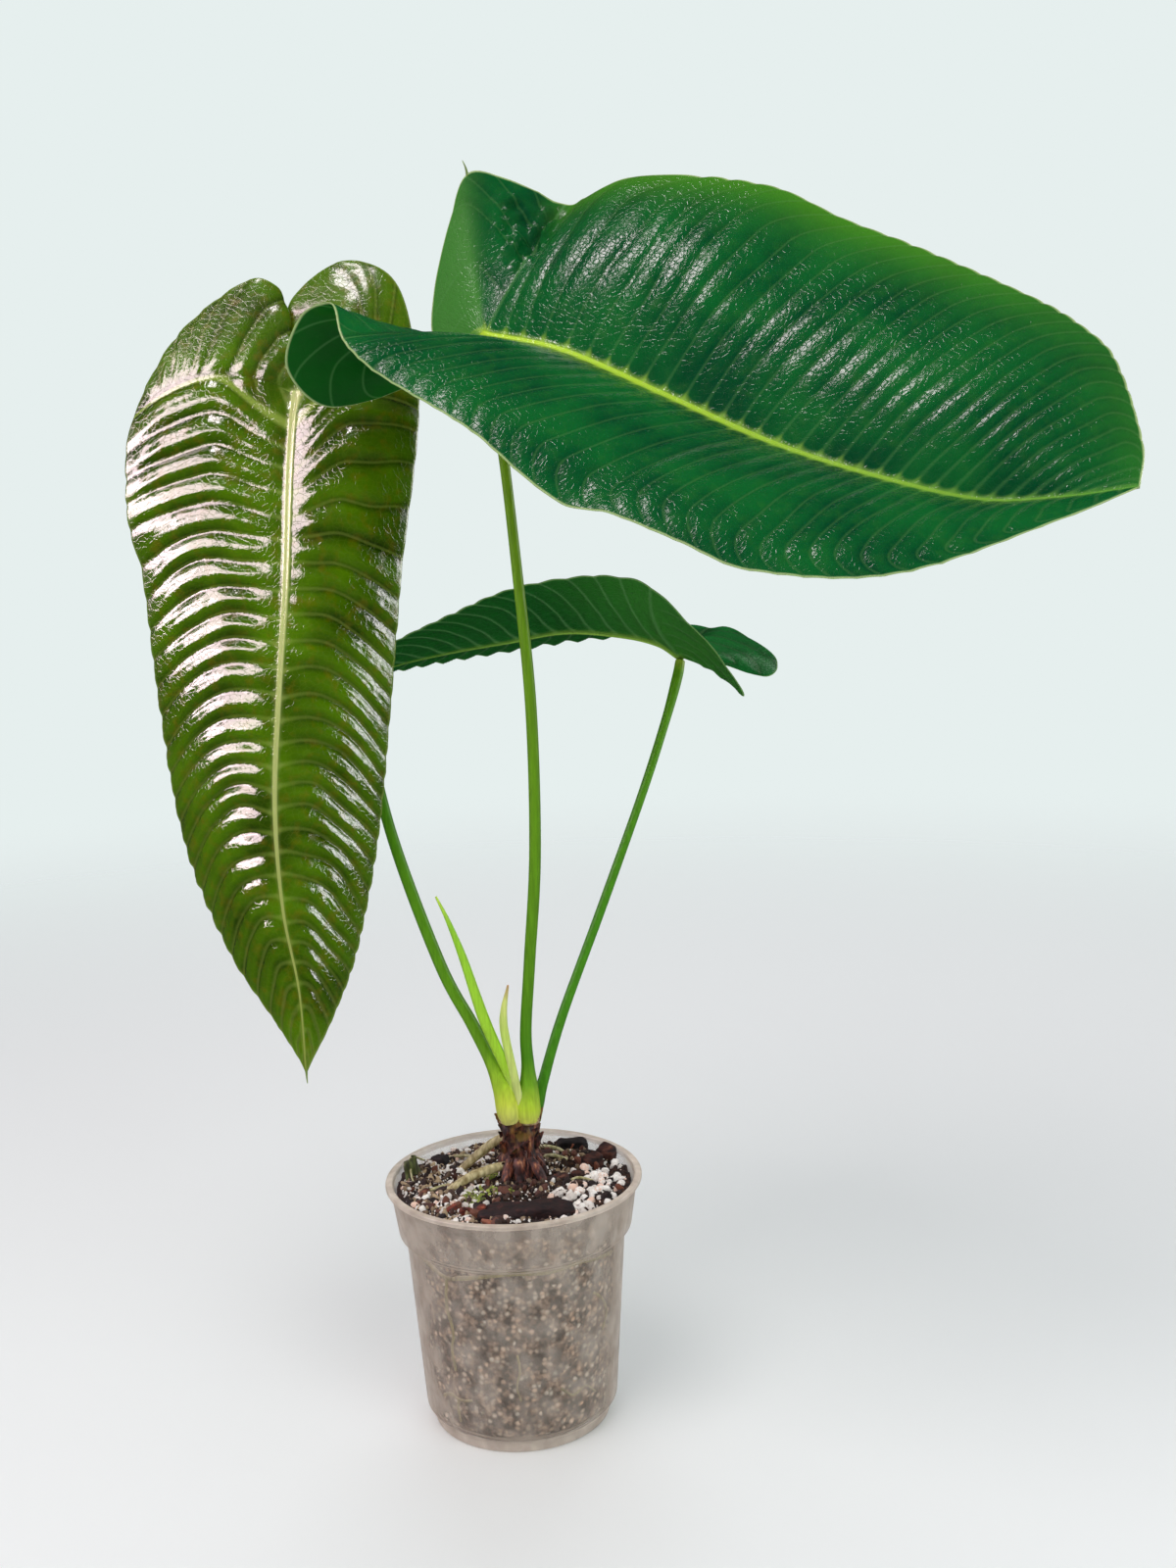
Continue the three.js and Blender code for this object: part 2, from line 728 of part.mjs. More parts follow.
// A leaf blade with its midrib: one closed, pleated sheet of even thickness, with a keel below the midrib.
function makeLeaf(leaf, pad) {
  const halves = [bladeHalf(leaf, leaf.left), bladeHalf(leaf, leaf.right)];
  const fanned = Array.from({ length: 4 * leaf.basal }, (unused, index) => index / 4);
  const rest = Array.from({ length: 2 * (leaf.veins - leaf.basal) + 1 }, (unused, index) => leaf.basal + index / 2);
  const veinAt = [...fanned, ...rest];
  const columns = veinAt.length - 1;
  const shares = [0, 0, 0.24, 0.5, 0.76, 1];
  const sheet = new Map();
  const over = [];
  const under = [];
  const ribNormal = (vein) => {
    const at = Math.max(leaf.basal, Math.min(leaf.veins - 0.5, vein));
    return halves[0].normal(at, 0.12).add(halves[1].normal(at, 0.12)).normalize();
  };
  const vertex = (half, side, column, row) => {
    const vein = veinAt[column];
    const width = half.width(vein);
    const length = Math.max(0, (vein - leaf.basal) / (leaf.veins - leaf.basal));
    const rib = leaf.ribRadius * (1 - 0.75 * length);
    const ribShare = Math.min(0.3, rib / Math.max(width, 0.01));
    let name = `${side}/${column}/${row}`;
    if (column === columns) name = "tip";
    else if (row === 0) name = vein <= leaf.basal ? "petiole" : `midrib/${column}`;
    if (!sheet.has(name)) {
      const share = row === 0 ? 0 : ribShare + (1 - ribShare) * shares[row];
      const onRib = row === 0 || column === columns;
      const normal = onRib ? ribNormal(vein) : half.normal(vein, share);
      const centre = half.point(vein, share);
      centre.addScaledVector(normal, onRib ? 0 : pleatRise(leaf, vein, share, width));
      const thin = column === columns || row === shares.length - 1 ? 0.35 : 0.5;
      const keel = row === 0 && column !== columns ? leaf.keel * (1 - 0.8 * length) : 0;
      sheet.set(name, over.length);
      over.push(centre.clone().addScaledVector(normal, thin * leaf.thickness + pad + 0.25 * keel));
      under.push(centre.clone().addScaledVector(normal, -thin * leaf.thickness - pad - keel));
    }
    return sheet.get(name);
  };
  const faces = [];
  halves.forEach((half, side) => {
    for (let column = 0; column < columns; column += 1)
      for (let row = 0; row < shares.length - 1; row += 1) {
        const a = vertex(half, side, column, row);
        const b = vertex(half, side, column + 1, row);
        const c = vertex(half, side, column + 1, row + 1);
        const d = vertex(half, side, column, row + 1);
        const pair = half.facing > 0 ? [[a, b, c], [a, c, d]] : [[a, c, b], [a, d, c]];
        faces.push(...pair.filter((face) => new Set(face).size === 3));
      }
  });
  return solidOf(thickened(over, under, faces));
}

// Closes two like sheets of points into one body: upper faces, lower faces and the edge between.
function thickened(over, under, faces) {
  const count = over.length;
  const directed = new Set(faces.flatMap(([a, b, c]) => [`${a},${b}`, `${b},${c}`, `${c},${a}`]));
  const closed = [...faces, ...faces.map(([a, b, c]) => [a + count, c + count, b + count])];
  for (const edge of directed) {
    const [a, b] = edge.split(",").map(Number);
    if (!directed.has(`${b},${a}`)) closed.push([b, a, a + count], [b, a + count, b + count]);
  }
  return indexed([...over, ...under], closed);
}

function makePlant() {
  const solids = {};
  const leafSpace = {};
  for (const [name, leaf] of Object.entries(leaves)) {
    solids[name] = makeLeaf(leaf, 0);
    leafSpace[name] = makeLeaf(leaf, fitGap);
  }
  const cutAll = (body, others) => largest(others.reduce((left, other) => left.subtract(other), body));
  solids.stem = makeStem(0);
  const stemSpace = makeStem(fitGap);
  const middleSpace = tube(petioles.middle, { ...petioleMesh, pad: fitGap });
  const leftSpace = tube(petioles.left, { ...petioleMesh, pad: fitGap });
  solids.petiole_middle = cutAll(tube(petioles.middle, petioleMesh), [leafSpace.leaf_right, stemSpace]);
  solids.petiole_left = cutAll(tube(petioles.left, petioleMesh), [leafSpace.leaf_left, stemSpace, middleSpace]);
  solids.petiole_right = cutAll(tube(petioles.right, petioleMesh), [leafSpace.leaf_back, stemSpace, middleSpace]);
  const bases = [stemSpace, middleSpace, leftSpace];
  solids.new_leaf = cutAll(tube(newLeafLine, { sides: 7, steps: 14 }), bases);
  const newLeafSpace = tube(newLeafLine, { sides: 7, steps: 14, pad: fitGap });
  solids.cataphyll = cutAll(tube(cataphyllLine, { sides: 7, steps: 10, flat: 0.55 }), [...bases, newLeafSpace]);
  const rootSpaces = [];
  for (const [name, rows] of Object.entries(surfaceRoots)) {
    solids[`surface_root_${name}`] = cutAll(tube(rows, { sides: 7, steps: 8 }), [stemSpace]);
    rootSpaces.push(tube(rows, { sides: 7, steps: 8, pad: fitGap }));
  }
  solids.wall_root = makeWallRoot(0);
  const chunkSpace = makeFrontBark(fitGap);
  solids.bark_chunk = makeFrontBark(0);
  solids.perlite = cutAll(makePerlite(), [stemSpace, ...rootSpaces, chunkSpace, makeMix(fitGap)]);
  solids.potting_mix = cutAll(makeMix(0), [stemSpace, ...rootSpaces, makeWallRoot(fitGap), chunkSpace]);
  solids.pot = makePot();
  return solids;
}

const finishOf = {
  pot: "pot",
  potting_mix: "mix",
  perlite: "perlite",
  bark_chunk: "bark",
  stem: "stem",
  surface_root_upper: "root",
  surface_root_lower: "root",
  wall_root: "root",
  petiole_left: "petiole",
  petiole_middle: "petiole",
  petiole_right: "petiole",
  new_leaf: "newLeaf",
  cataphyll: "newLeaf",
  leaf_left: "bronzeLeaf",
  leaf_right: "greenLeaf",
  leaf_back: "greenLeaf",
};

const plant = new THREE.Group();
const solids = makePlant();
for (const [name, finish] of Object.entries(finishOf)) {
  const { color, roughness } = finishes[finish];
  const mesh = new THREE.Mesh(
    geometryOf(solids[name]),
    new THREE.MeshStandardMaterial({ color, roughness, metalness: 0 }),
  );
  mesh.name = name;
  plant.add(mesh);
}

export default plant;
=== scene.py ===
import math
from functools import partial

import bpy
import numpy as np
from mathutils import Matrix, Vector


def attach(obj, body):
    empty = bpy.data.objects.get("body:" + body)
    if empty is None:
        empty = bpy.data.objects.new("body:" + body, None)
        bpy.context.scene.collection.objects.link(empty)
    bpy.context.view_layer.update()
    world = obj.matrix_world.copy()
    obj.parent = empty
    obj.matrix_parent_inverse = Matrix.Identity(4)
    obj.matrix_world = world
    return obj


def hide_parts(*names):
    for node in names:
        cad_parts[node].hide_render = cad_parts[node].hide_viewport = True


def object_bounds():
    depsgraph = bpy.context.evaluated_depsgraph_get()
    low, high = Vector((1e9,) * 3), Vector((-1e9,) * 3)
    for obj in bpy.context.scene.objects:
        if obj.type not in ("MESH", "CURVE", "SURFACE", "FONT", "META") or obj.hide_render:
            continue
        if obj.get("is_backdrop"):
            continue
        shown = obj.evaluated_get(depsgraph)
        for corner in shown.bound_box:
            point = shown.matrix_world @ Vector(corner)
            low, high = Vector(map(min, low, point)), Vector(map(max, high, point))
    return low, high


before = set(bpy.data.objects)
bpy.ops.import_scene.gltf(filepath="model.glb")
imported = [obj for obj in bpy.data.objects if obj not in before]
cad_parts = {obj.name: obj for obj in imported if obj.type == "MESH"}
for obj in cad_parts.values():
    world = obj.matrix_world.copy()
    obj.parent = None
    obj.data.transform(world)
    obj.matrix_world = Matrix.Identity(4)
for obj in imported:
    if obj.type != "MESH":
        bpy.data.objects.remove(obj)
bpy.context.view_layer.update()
print("frame loaded:", len(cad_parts), "nodes")

mm = 0.001  # every size below is in millimetres, and becomes metres where a mesh is made


def linear(hexColour):
    parts = [int(hexColour[i : i + 2], 16) / 255 for i in (1, 3, 5)]
    return tuple(p / 12.92 if p <= 0.04045 else ((p + 0.055) / 1.055) ** 2.4 for p in parts) + (1.0,)


def setInputs(tree, node, inputs):
    # Each input gets a value, or a link from the socket that feeds it.
    for key, value in inputs.items():
        if isinstance(value, bpy.types.NodeSocket):
            tree.links.new(value, node.inputs[key])
        else:
            node.inputs[key].default_value = value


def addNode(tree, kind, inputs=None, stops=None, **settings):
    # Adds one node. Settings are its own properties, and stops are a colour ramp's places and colours.
    node = tree.nodes.new(kind if "Node" in kind else "ShaderNode" + kind)
    for name, value in settings.items():
        setattr(node, name, value)
    setInputs(tree, node, inputs or {})
    for index, (place, colour) in enumerate(stops or []):
        if index > 1:
            node.color_ramp.elements.new(place)
        node.color_ramp.elements[index].position = place
        node.color_ramp.elements[index].color = linear(colour)
    return node


def newFinish(name):
    # Gives a material, a function that adds its nodes and one that sets its shader's sockets.
    finish = bpy.data.materials.new(name)
    finish.use_nodes = True
    tree = finish.node_tree
    tree.nodes.clear()
    shader = addNode(tree, "BsdfPrincipled")
    addNode(tree, "OutputMaterial", {"Surface": shader.outputs[0]})
    return finish, partial(addNode, tree), partial(setInputs, tree, shader)


def patternScale(*sizes):
    # A pattern's scale from the size of its marks in millimetres, along X, Y and Z.
    return tuple(1 / (size * mm) for size in sizes)


def smooth(value):
    t = np.clip(value, 0, 1)
    return t * t * (3 - 2 * t)


def through(rows):
    # A smooth curve through rows of [knot, numbers...].
    table = np.array(rows, float)
    knots, values = table[:, 0], table[:, 1:]
    last = len(knots) - 1
    before = np.maximum(np.arange(last + 1) - 1, 0)
    after = np.minimum(np.arange(last + 1) + 1, last)
    slopes = (values[after] - values[before]) / (knots[after] - knots[before])[:, None]

    def at(knot):
        knot = np.atleast_1d(np.asarray(knot, float))
        row = np.searchsorted(knots[1:last], knot, side="left")
        step = (knots[row + 1] - knots[row])[:, None]
        t = (knot - knots[row])[:, None] / step
        mixed = values[row] + (values[row + 1] - values[row]) * t * t * (3 - 2 * t)
        return mixed + t * (1 - t) ** 2 * step * slopes[row] + t * t * (t - 1) * step * slopes[row + 1]

    return at


def noise(x, y, z=0.0, seed=0):
    # Smooth value noise from -1 to 1, one bump per unit, the same in every run.
    x, y, z = np.broadcast_arrays(np.asarray(x, float), y, z)
    base = [np.floor(a).astype(np.int64) for a in (x, y, z)]
    part = [smooth(a - b) for a, b in zip((x, y, z), base)]
    total = 0
    for corner in range(8):
        step = [corner >> i & 1 for i in range(3)]
        i, j, k = (b + s for b, s in zip(base, step))
        mixed = (i * 374761393 + j * 668265263 + k * 2147483647 + seed * 974634777) & 0xFFFFFFFF
        mixed = ((mixed ^ mixed >> 13) * 1274126177) & 0xFFFFFFFF
        value = ((mixed ^ mixed >> 16) & 0xFFFFFF) / 0xFFFFFF * 2 - 1
        weight = 1
        for share, s in zip(part, step):
            weight = weight * (share if s else 1 - share)
        total = total + value * weight
    return total


def newPiece(name, points, faces, finish, fields=None):
    # A mesh object from points in millimetres. Fields are numbers that the finish reads at each point.
    mesh = bpy.data.meshes.new(name)
    mesh.from_pydata((np.asarray(points) * mm).tolist(), [], [list(face) for face in faces])
    for key, values in (fields or {}).items():
        values = np.asarray(values, np.float32)
        kind, slot = ("FLOAT_VECTOR", "vector") if values.ndim == 2 else ("FLOAT", "value")
        mesh.attributes.new(key, kind, "POINT").data.foreach_set(slot, values.ravel())
    mesh.polygons.foreach_set("use_smooth", [True] * len(mesh.polygons))
    mesh.materials.append(finish)
    mesh.update()
    piece = bpy.data.objects.new(name, mesh)
    bpy.context.scene.collection.objects.link(piece)
    return piece


def settle(piece, slot, *nodes):
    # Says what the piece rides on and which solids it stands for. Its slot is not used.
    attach(piece, "root")
    if nodes:
        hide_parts(*nodes)
    return piece


view = {
    "place": (0.0407, -0.745, 0.4173),
    "down": 8.89,
    "roll": 1.85,
    "lens": 38.25,
}
cameraData = bpy.data.cameras.new("view")
cameraData.lens = view["lens"]
cameraData.sensor_width = 36
cameraData.clip_start = 0.01
camera = bpy.data.objects.new("view", cameraData)
bpy.context.scene.collection.objects.link(camera)
down = math.radians(view["down"])
forward = Vector((0, math.cos(down), -math.sin(down)))
upward = Vector((0, math.sin(down), math.cos(down)))
aimed = Matrix((Vector((1, 0, 0)), upward, -forward)).transposed().to_4x4()
rolled = Matrix.Rotation(math.radians(-view["roll"]), 4, "Z")
camera.matrix_world = Matrix.Translation(view["place"]) @ aimed @ rolled
bpy.context.scene.camera = camera
bpy.context.scene.view_settings.view_transform = "Standard"

studio = {
    "backdrop": "#e6efee",
    "overhead": "#f6f2f4",
    "front": "#c9cfcd",
    "ambient": 0.62,
    "gleam": 0.035,
    "lamps": {
        # name: place, aimed at, width, height, watts, colour, what it shows on
        "key": ((-0.5, -0.7, 1.7), (0.0, 0.0, 0.35), 1.0, 1.0, 13, "#fff6f4", "diffuse"),
        "fill": ((1.0, -1.2, 1.0), (0.05, 0.0, 0.35), 1.2, 1.2, 8, "#f2fffa", "diffuse"),
        "back": ((0.1, 1.6, 1.9), (0.0, 0.5, 0.0), 1.6, 1.0, 12, "#fbfdff", "diffuse"),
        "skylight": ((-0.55, 0.02, 2.6), (0.1, 0.0, 0.45), 0.4, 0.4, 8.5, "#fff0f6", "gloss"),
        "leftWindow": ((-0.85, -0.55, 1.22), (-0.08, 0.0, 0.38), 1.15, 0.62, 27, "#ffe2ec", "gloss"),
        "lowWindow": ((-1.25, -0.22, 0.86), (-0.08, 0.0, 0.38), 0.9, 0.4, 19, "#ffe2ec", "gloss"),
        "rightWindow": ((1.2, 0.2, 0.65), (0.0, 0.0, 0.35), 0.9, 0.6, 14, "#fbf6fb", "gloss"),
    },
}
for name, (place, aim, width, height, watts, colour, shows) in studio["lamps"].items():
    lampData = bpy.data.lights.new(name, "AREA")
    lampData.shape = "RECTANGLE"
    lampData.size, lampData.size_y = width, height
    lampData.energy = watts
    lampData.color = linear(colour)[:3]
    lamp = bpy.data.objects.new(name, lampData)
    lamp.location = place
    lamp.rotation_mode = "QUATERNION"
    lamp.rotation_quaternion = (Vector(aim) - Vector(place)).to_track_quat("-Z", "Y")
    lamp.visible_camera = False
    lamp.visible_diffuse = shows == "diffuse"
    lamp.visible_glossy = shows == "gloss"
    bpy.context.scene.collection.objects.link(lamp)

world = bpy.data.worlds.new("studio")
world.use_nodes = True
bpy.context.scene.world = world
world.node_tree.nodes.clear()
addSky = partial(addNode, world.node_tree)
direction = addSky("TexCoord").outputs["Generated"]
axes = addSky("SeparateXYZ", {0: direction}).outputs
above = addSky("MapRange", {0: axes["Z"], 1: 0.1, 2: 0.9}).outputs[0]
behind = addSky("MapRange", {0: axes["Y"], 1: -0.1, 2: 0.7}).outputs[0]
above = addSky("Math", {0: above, 1: behind}, operation="MAXIMUM").outputs[0]
glow = addSky(
    "Mix", {0: above, 6: linear(studio["front"]), 7: linear(studio["overhead"])}, data_type="RGBA"
).outputs[2]
lightPath = addSky("LightPath").outputs
# in the gloss the room is dark, so leaves keep their depth of colour between the windows' gleams
level = addSky(
    "MapRange", {0: lightPath["Is Glossy Ray"], 1: 0.0, 2: 1.0, 3: studio["ambient"], 4: studio["gleam"]}
).outputs[0]
lit = addSky("Background", {0: glow, 1: level}).outputs[0]
seen = addSky("Background", {0: linear(studio["backdrop"]), 1: 1.0}).outputs[0]
both = addSky("MixShader", {0: lightPath["Is Camera Ray"], 1: lit, 2: seen}).outputs[0]
addSky("OutputWorld", {0: both})

# The floor is pale matt card that fades into the backdrop.
floorLook = {
    # in metres
    "radius": 3.0,
    "fadeFrom": 0.55,
    "fadeTo": 1.9,
    "below": 0.0002,
    "colour": "#f0f4f5",
    "sides": 96,
}
floorFinish, add, setShader = newFinish("pale card")
spot = add("TexCoord").outputs["Object"]
away = add("VectorMath", {0: spot}, operation="LENGTH").outputs["Value"]
fade = add(
    "MapRange",
    {0: away, 1: floorLook["fadeFrom"], 2: floorLook["fadeTo"], 3: 1.0, 4: 0.0},
    interpolation_type="SMOOTHSTEP",
).outputs[0]
setShader({"Alpha": fade, "Base Color": linear(floorLook["colour"]), "Roughness": 0.5})
sides = floorLook["sides"]
turns = np.arange(sides) / sides * 2 * math.pi
rim = floorLook["radius"] / mm * np.stack([np.cos(turns), np.sin(turns), 0 * turns], 1)
wedges = [(i, (i + 1) % sides, sides) for i in range(sides)]
floor = newPiece("floor", np.vstack([rim, [[0, 0, 0]]]), wedges, floorFinish)
floor.data.transform(Matrix.Translation((0, 0, -floorLook["below"])))
floor.visible_glossy = False
floor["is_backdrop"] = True
print("camera, light and floor made")

# Each leaf lists its midrib and two margins by vein number: knot, x, y, z and swell.
leaves = {
    "leaf_left": {
        "veins": 30,
        "basal": 5,
        "upper": [0, -1, 0.2],
        "thickness": 0.8,
        "pleat": 2.7,
        "marginPleat": 0.32,
        "ribCrown": 2.6,
        "ribRadius": 2.7,
        "ribRise": 0.7,
        "keel": 2.2,
        "wrinkle": 0.16,
        "branches": [[[-3, -1.5], [0, 0], [3, 3], [5, 9]], [[-3, -1], [0, 0], [3, 2], [5, 6]]],
        "pleats": [[5, 5], [16, 16], [30, 33]],
        "veinLean": [[2.5, 0], [5, 1.35], [7, 1.2], [9, 0.6], [11, 0.35], [14, 0.25], [20, 0.15], [30, 0]],
        "droop": [[5, 0], [8, -0.4], [10, -0.1], [13, 0.25], [17, 0.5], [22, 0.65], [30, 0.6]],
        "droopFrom": 0.2,
        "archWidth": 3.0,
        "crestAt": 0.58,
        "plateau": 0.0,
        "between": 1.0,
        "sweep": [0, 0],
        "relief": [1, 0.85],
        "lobeRelief": [0.8, 0.25],
        "uneven": 0.45,
        "wander": 0.16,
        "midrib": [
            [5, -85, 25, 478],
            [8, -86.5, 6, 441],
            [12, -88, -11, 394],
            [16, -92, -21, 348],
            [20, -95.5, -28, 300],
            [24, -94, -33, 254],
            [27, -89, -35, 218],
            [30, -88, -36, 181],
        ],
        "left": [
            [0, -88, 27, 484, 0, 0, 0],
            [1, -93, 35, 502, 0, 0, 0],
            [2, -91, 44, 521, 2, -2, 0],
            [2.5, -96, 46, 530, 2, -3, 0],
            [3, -109, 47, 532, 2, -3, 2],
            [4, -141, 40, 507, 2, -4, 8],
            [5, -160, 28, 471, 0, -4, 13],
            [7, -162, 15, 439, 0, -5, 11],
            [9, -160, 10, 418, 0, -6, 9],
            [10, -156, 8, 404, 0, -6, 9],
            [15, -150, -1, 343, 0, -6, 9],
            [20, -141, -8, 280, 0, -6, 9],
            [24, -122, -18, 232, 0, -5, 7],
            [27, -101, -29, 202, 0, -2, 4],
            [29, -91, -34, 187, 0, 0, 1],
            [30, -88, -36, 181, 0, 0, 0],
        ],
        "right": [
            [0, -82, 27, 484, 0, 0, 0],
            [1, -88, 39, 502, 0, 0, 0],
            [2, -89, 47, 522, 0, -2, 0],
            [3, -69, 52, 539, -1, -3, 2],
            [3.5, -54, 50, 539, -2, -3, 4],
            [4, -40, 43, 529, -2, -4, 6],
            [4.5, -33, 34, 508, -1, -4, 8],
            [5, -30, 25, 484, 0, -4, 10],
            [7, -31, 15, 455, 0, -5, 9],
            [10, -39, 5, 402, 0, -6, 8],
            [15, -47, -3, 335, 0, -6, 9],
            [20, -55, -8, 278, 0, -6, 9],
            [24, -66, -19, 229, 0, -5, 7],
            [27, -77, -29, 202, 0, -2, 4],
            [29, -85, -34, 187, 0, 0, 1],
            [30, -88, -36, 181, 0, 0, 0],
        ],
    },
    "leaf_right": {
        "veins": 30,
        "basal": 5,
        "upper": [-0.3, -0.8, 0.5],
        "thickness": 0.8,
        "pleat": 0.9,
        "marginPleat": 0.95,
        "ribCrown": 0,
        "ribRadius": 2.4,
        "ribRise": 0.6,
        "keel": 2.0,
        "wrinkle": 0.04,
        "branches": [[[-3, -1.5], [0, 0], [3, 2], [5, 6]], [[-3, -2], [0, 0], [2.5, 4], [5, 8]]],
        "pleats": [[5, 5], [30, 39]],
        "veinLean": [[5, 0], [8, 0.1], [30, 0.1]],
        "droop": [[5, 0], [10, 1], [30, 1]],
        "droopFrom": 0.78,
        "archWidth": 1.0,
        "crestAt": 0.5,
        "plateau": 0.75,
        "between": 0.0,
        "sweep": [1.8, 0.1],
        "relief": [1, 0.8],
        "lobeRelief": [0.6, 0.5],
        "uneven": 0.5,
        "wander": 0.12,
        # a crumpled patch in the far lobe: side, vein number, share of the width, their reaches, depth
        "pucker": [0, 4.75, 0.74, 0.75, 0.26, 4.6],
        "midrib": [
            [5, 2, 0, 499],
            [8, 36, -20, 489],
            [12, 79, -43, 467],
            [16, 119, -67, 446],
            [20, 157, -90, 431],
            [24, 193, -107, 421],
            [27, 220, -118, 421],
            [30, 247, -124, 424],
        ],
        "left": [
            [0, 0, 5, 502, 0, 0, 0],
            [1, -20, 14, 500, 0, 0, 0],
            [2, -21, 26, 521, 0, 0, 0],
            [3, -12, 37, 558, 0, 3, 0],
            [3.6, -4, 40, 575, 0, 6, 0],
            [4.2, 14, 44, 572, 0, 3, 0],
            [5, 39, 46, 561, -2, -3, 0],
            [6, 49, 45, 564, -4, -3, 2],
            [8, 72, 39, 571, -6, -4, 3],
            [12, 129, 14, 560, -8, -5, 5],
            [14, 159, 1, 543, -8, -5, 5],
            [16, 186, -17, 528, -9, -5, 5],
            [20, 226, -54, 501, -8, -4, 5],
            [22, 240, -71, 488, -7, -4, 5],
            [24, 249, -85, 474, -6, -3, 4],
            [28, 252, -112, 439, -2, 0, 1],
            [30, 247, -124, 424, 0, 0, 0],
        ],
        "right": [
            [0, -1, 2, 494, 0, 0, 0],
            [1, -36, 6, 478, 0, 0, 0],
            [2, -68, -6, 471, 0, 0, 3],
            [2.7, -82, -15, 487, 0, 4, 0],
            [3.4, -74, -21, 507, 0, 4, -3],
            [4, -60, -29, 511, 0, 1, -4],
            [4.6, -55, -42, 498, 0, -4, 0],
            [6, -50, -51, 490, 2, -6, 3],
            [8, -38, -60, 479, 2, -5, 4],
            [12, 0, -86, 454, 0, -4, 5],
            [14, 22, -102, 434, -1, -4, 5],
            [15, 36, -110, 424, -1, -4, 5],
            [16, 51, -118, 421, -2, -4, 5],
            [18, 76, -131, 410, -3, -4, 5],
            [20, 100, -141, 399, -4, -4, 5],
            [24, 153, -148, 396, -4, -3, 4],
            [28, 217, -136, 414, -1, 0, 1],
            [30, 247, -124, 424, 0, 0, 0],
        ],
    },
    "leaf_back": {
        "veins": 22,
        "basal": 4,
        "upper": [0, 0.4, 0.9],
        "thickness": 0.8,
        "pleat": 1.2,
        "marginPleat": 0.75,
        "ribCrown": 0,
        "ribRadius": 1.9,
        "ribRise": 0.5,
        "keel": 1.8,
        "wrinkle": 0.12,
        "branches": [[[-3, -1.5], [0, 0], [4, 5]], [[-3, -1.5], [0, 0], [4, 5]]],
        "pleats": [[4, 4], [22, 22]],
        "veinLean": [[4, 0], [8, 0.5], [22, 0.2]],
        "droop": [[4, 0], [9, 0.7], [22, 0.7]],
        "droopFrom": 0.6,
        "archWidth": 1.0,
        "crestAt": 0.5,
        "plateau": 0.4,
        "between": 0.0,
        "sweep": [0, 0],
        "relief": [1, 2.2],
        "lobeRelief": [0.7, 0.7],
        "uneven": 0.3,
        "wander": 0.08,
        "midrib": [
            [4, 89, 85, 350],
            [5, 79, 85, 357],
            [7, 61, 84, 362],
            [10, 32, 81, 365],
            [13, 3, 79, 361],
            [16, -25, 76.5, 357],
            [19, -54, 75, 351],
            [22, -83, 73, 341],
        ],
        "left": [
            [0, 92, 82, 349, 0, 0, 0],
            [1, 107, 67, 343, 0, 0, 2],
            [1.8, 117, 53, 333, 0, 0, 3],
            [2.6, 104, 43, 354, 0, 0, 2],
            [3.4, 85, 34, 375, -3, 2, 2],
            [4, 73, 30, 387, -5, 0, 0],
            [5, 60, 28, 392, -4, -2, 0],
            [7, 39, 27, 393, -3, -2, 0],
            [10, 7, 31, 388, -2, -2, 0],
            [13, -21, 39, 377, 0, -2, 0],
            [16, -48, 51, 365, 0, -1, 0],
            [19, -70, 64, 351, 0, 0, 0],
            [22, -83, 73, 341, 0, 0, 0],
        ],
        "right": [
            [0, 92, 89, 350, 0, 0, 0],
            [1, 114, 106, 343, 0, 0, 3],
            [1.8, 135, 116, 336, 0, 0, 4],
            [2.6, 141, 125, 344, 0, 0, 3],
            [3.4, 123, 138, 358, 0, 0, 2],
            [4, 108, 144, 361, 0, 0, 2],
            [5, 92, 150, 360, 0, 0, 2],
            [7, 71, 154, 357, 0, 0, 3],
            [10, 34, 150, 355, 2, 0, 3],
            [13, -2, 141, 351, 2, 0, 3],
            [16, -36, 122, 348, 1, 0, 2],
            [19, -62, 99, 345, 0, 0, 1],
            [22, -83, 73, 341, 0, 0, 0],
        ],
    },
}

leafMesh = {"veinSteps": 10, "fanSteps": 14, "bladeRows": 46, "ribRows": 5, "rimBulge": 0.28}


def bladeHalf(leaf, rows):
    midrib = through(leaf["midrib"])
    margin = through([row[:4] for row in rows])
    swell = through([[row[0], *row[4:]] for row in rows])

    def point(vein, share):
        s = share[:, None]
        ribPoint = midrib(np.maximum(leaf["basal"], vein))
        return ribPoint * (1 - s) + margin(vein) * s + 4 * s * (1 - s) * swell(vein)

    def rawNormal(vein, share):
        at = np.clip(vein, 0.06, leaf["veins"] - 0.06)
        out = np.clip(share, 0.08, 0.98)
        ahead = point(at + 0.05, out) - point(at - 0.05, out)
        outward = point(at, out + 0.02) - point(at, out - 0.02)
        n = np.cross(ahead, outward)
        return n / np.linalg.norm(n, axis=1)[:, None]

    middle = rawNormal(np.array([leaf["veins"] / 2]), np.array([0.5]))[0]
    facing = 1 if middle @ np.array(leaf["upper"]) > 0 else -1
    return point, lambda vein, share: facing * rawNormal(vein, share), facing


def branchAt(leaf, vein, share):
    # In a lobe the veins branch off the arching basal vein. Gives the knot where each place's branch ends.
    basal = leaf["basal"]
    low = np.full(vein.shape, -3.0)
    high = vein.copy()
    for _ in range(40):
        knot = (low + high) / 2
        t = np.clip((basal - vein) / np.maximum(basal - knot, 1e-6), 0, 1)
        start = 0.95 * np.clip(knot / basal, 0, 1) + 0.06 * np.clip(knot, -3, 0)
        reach = start + (1 - start) * t**1.7
        above = reach > share
        high = np.where(above, knot, high)
        low = np.where(above, low, knot)
    return (low + high) / 2


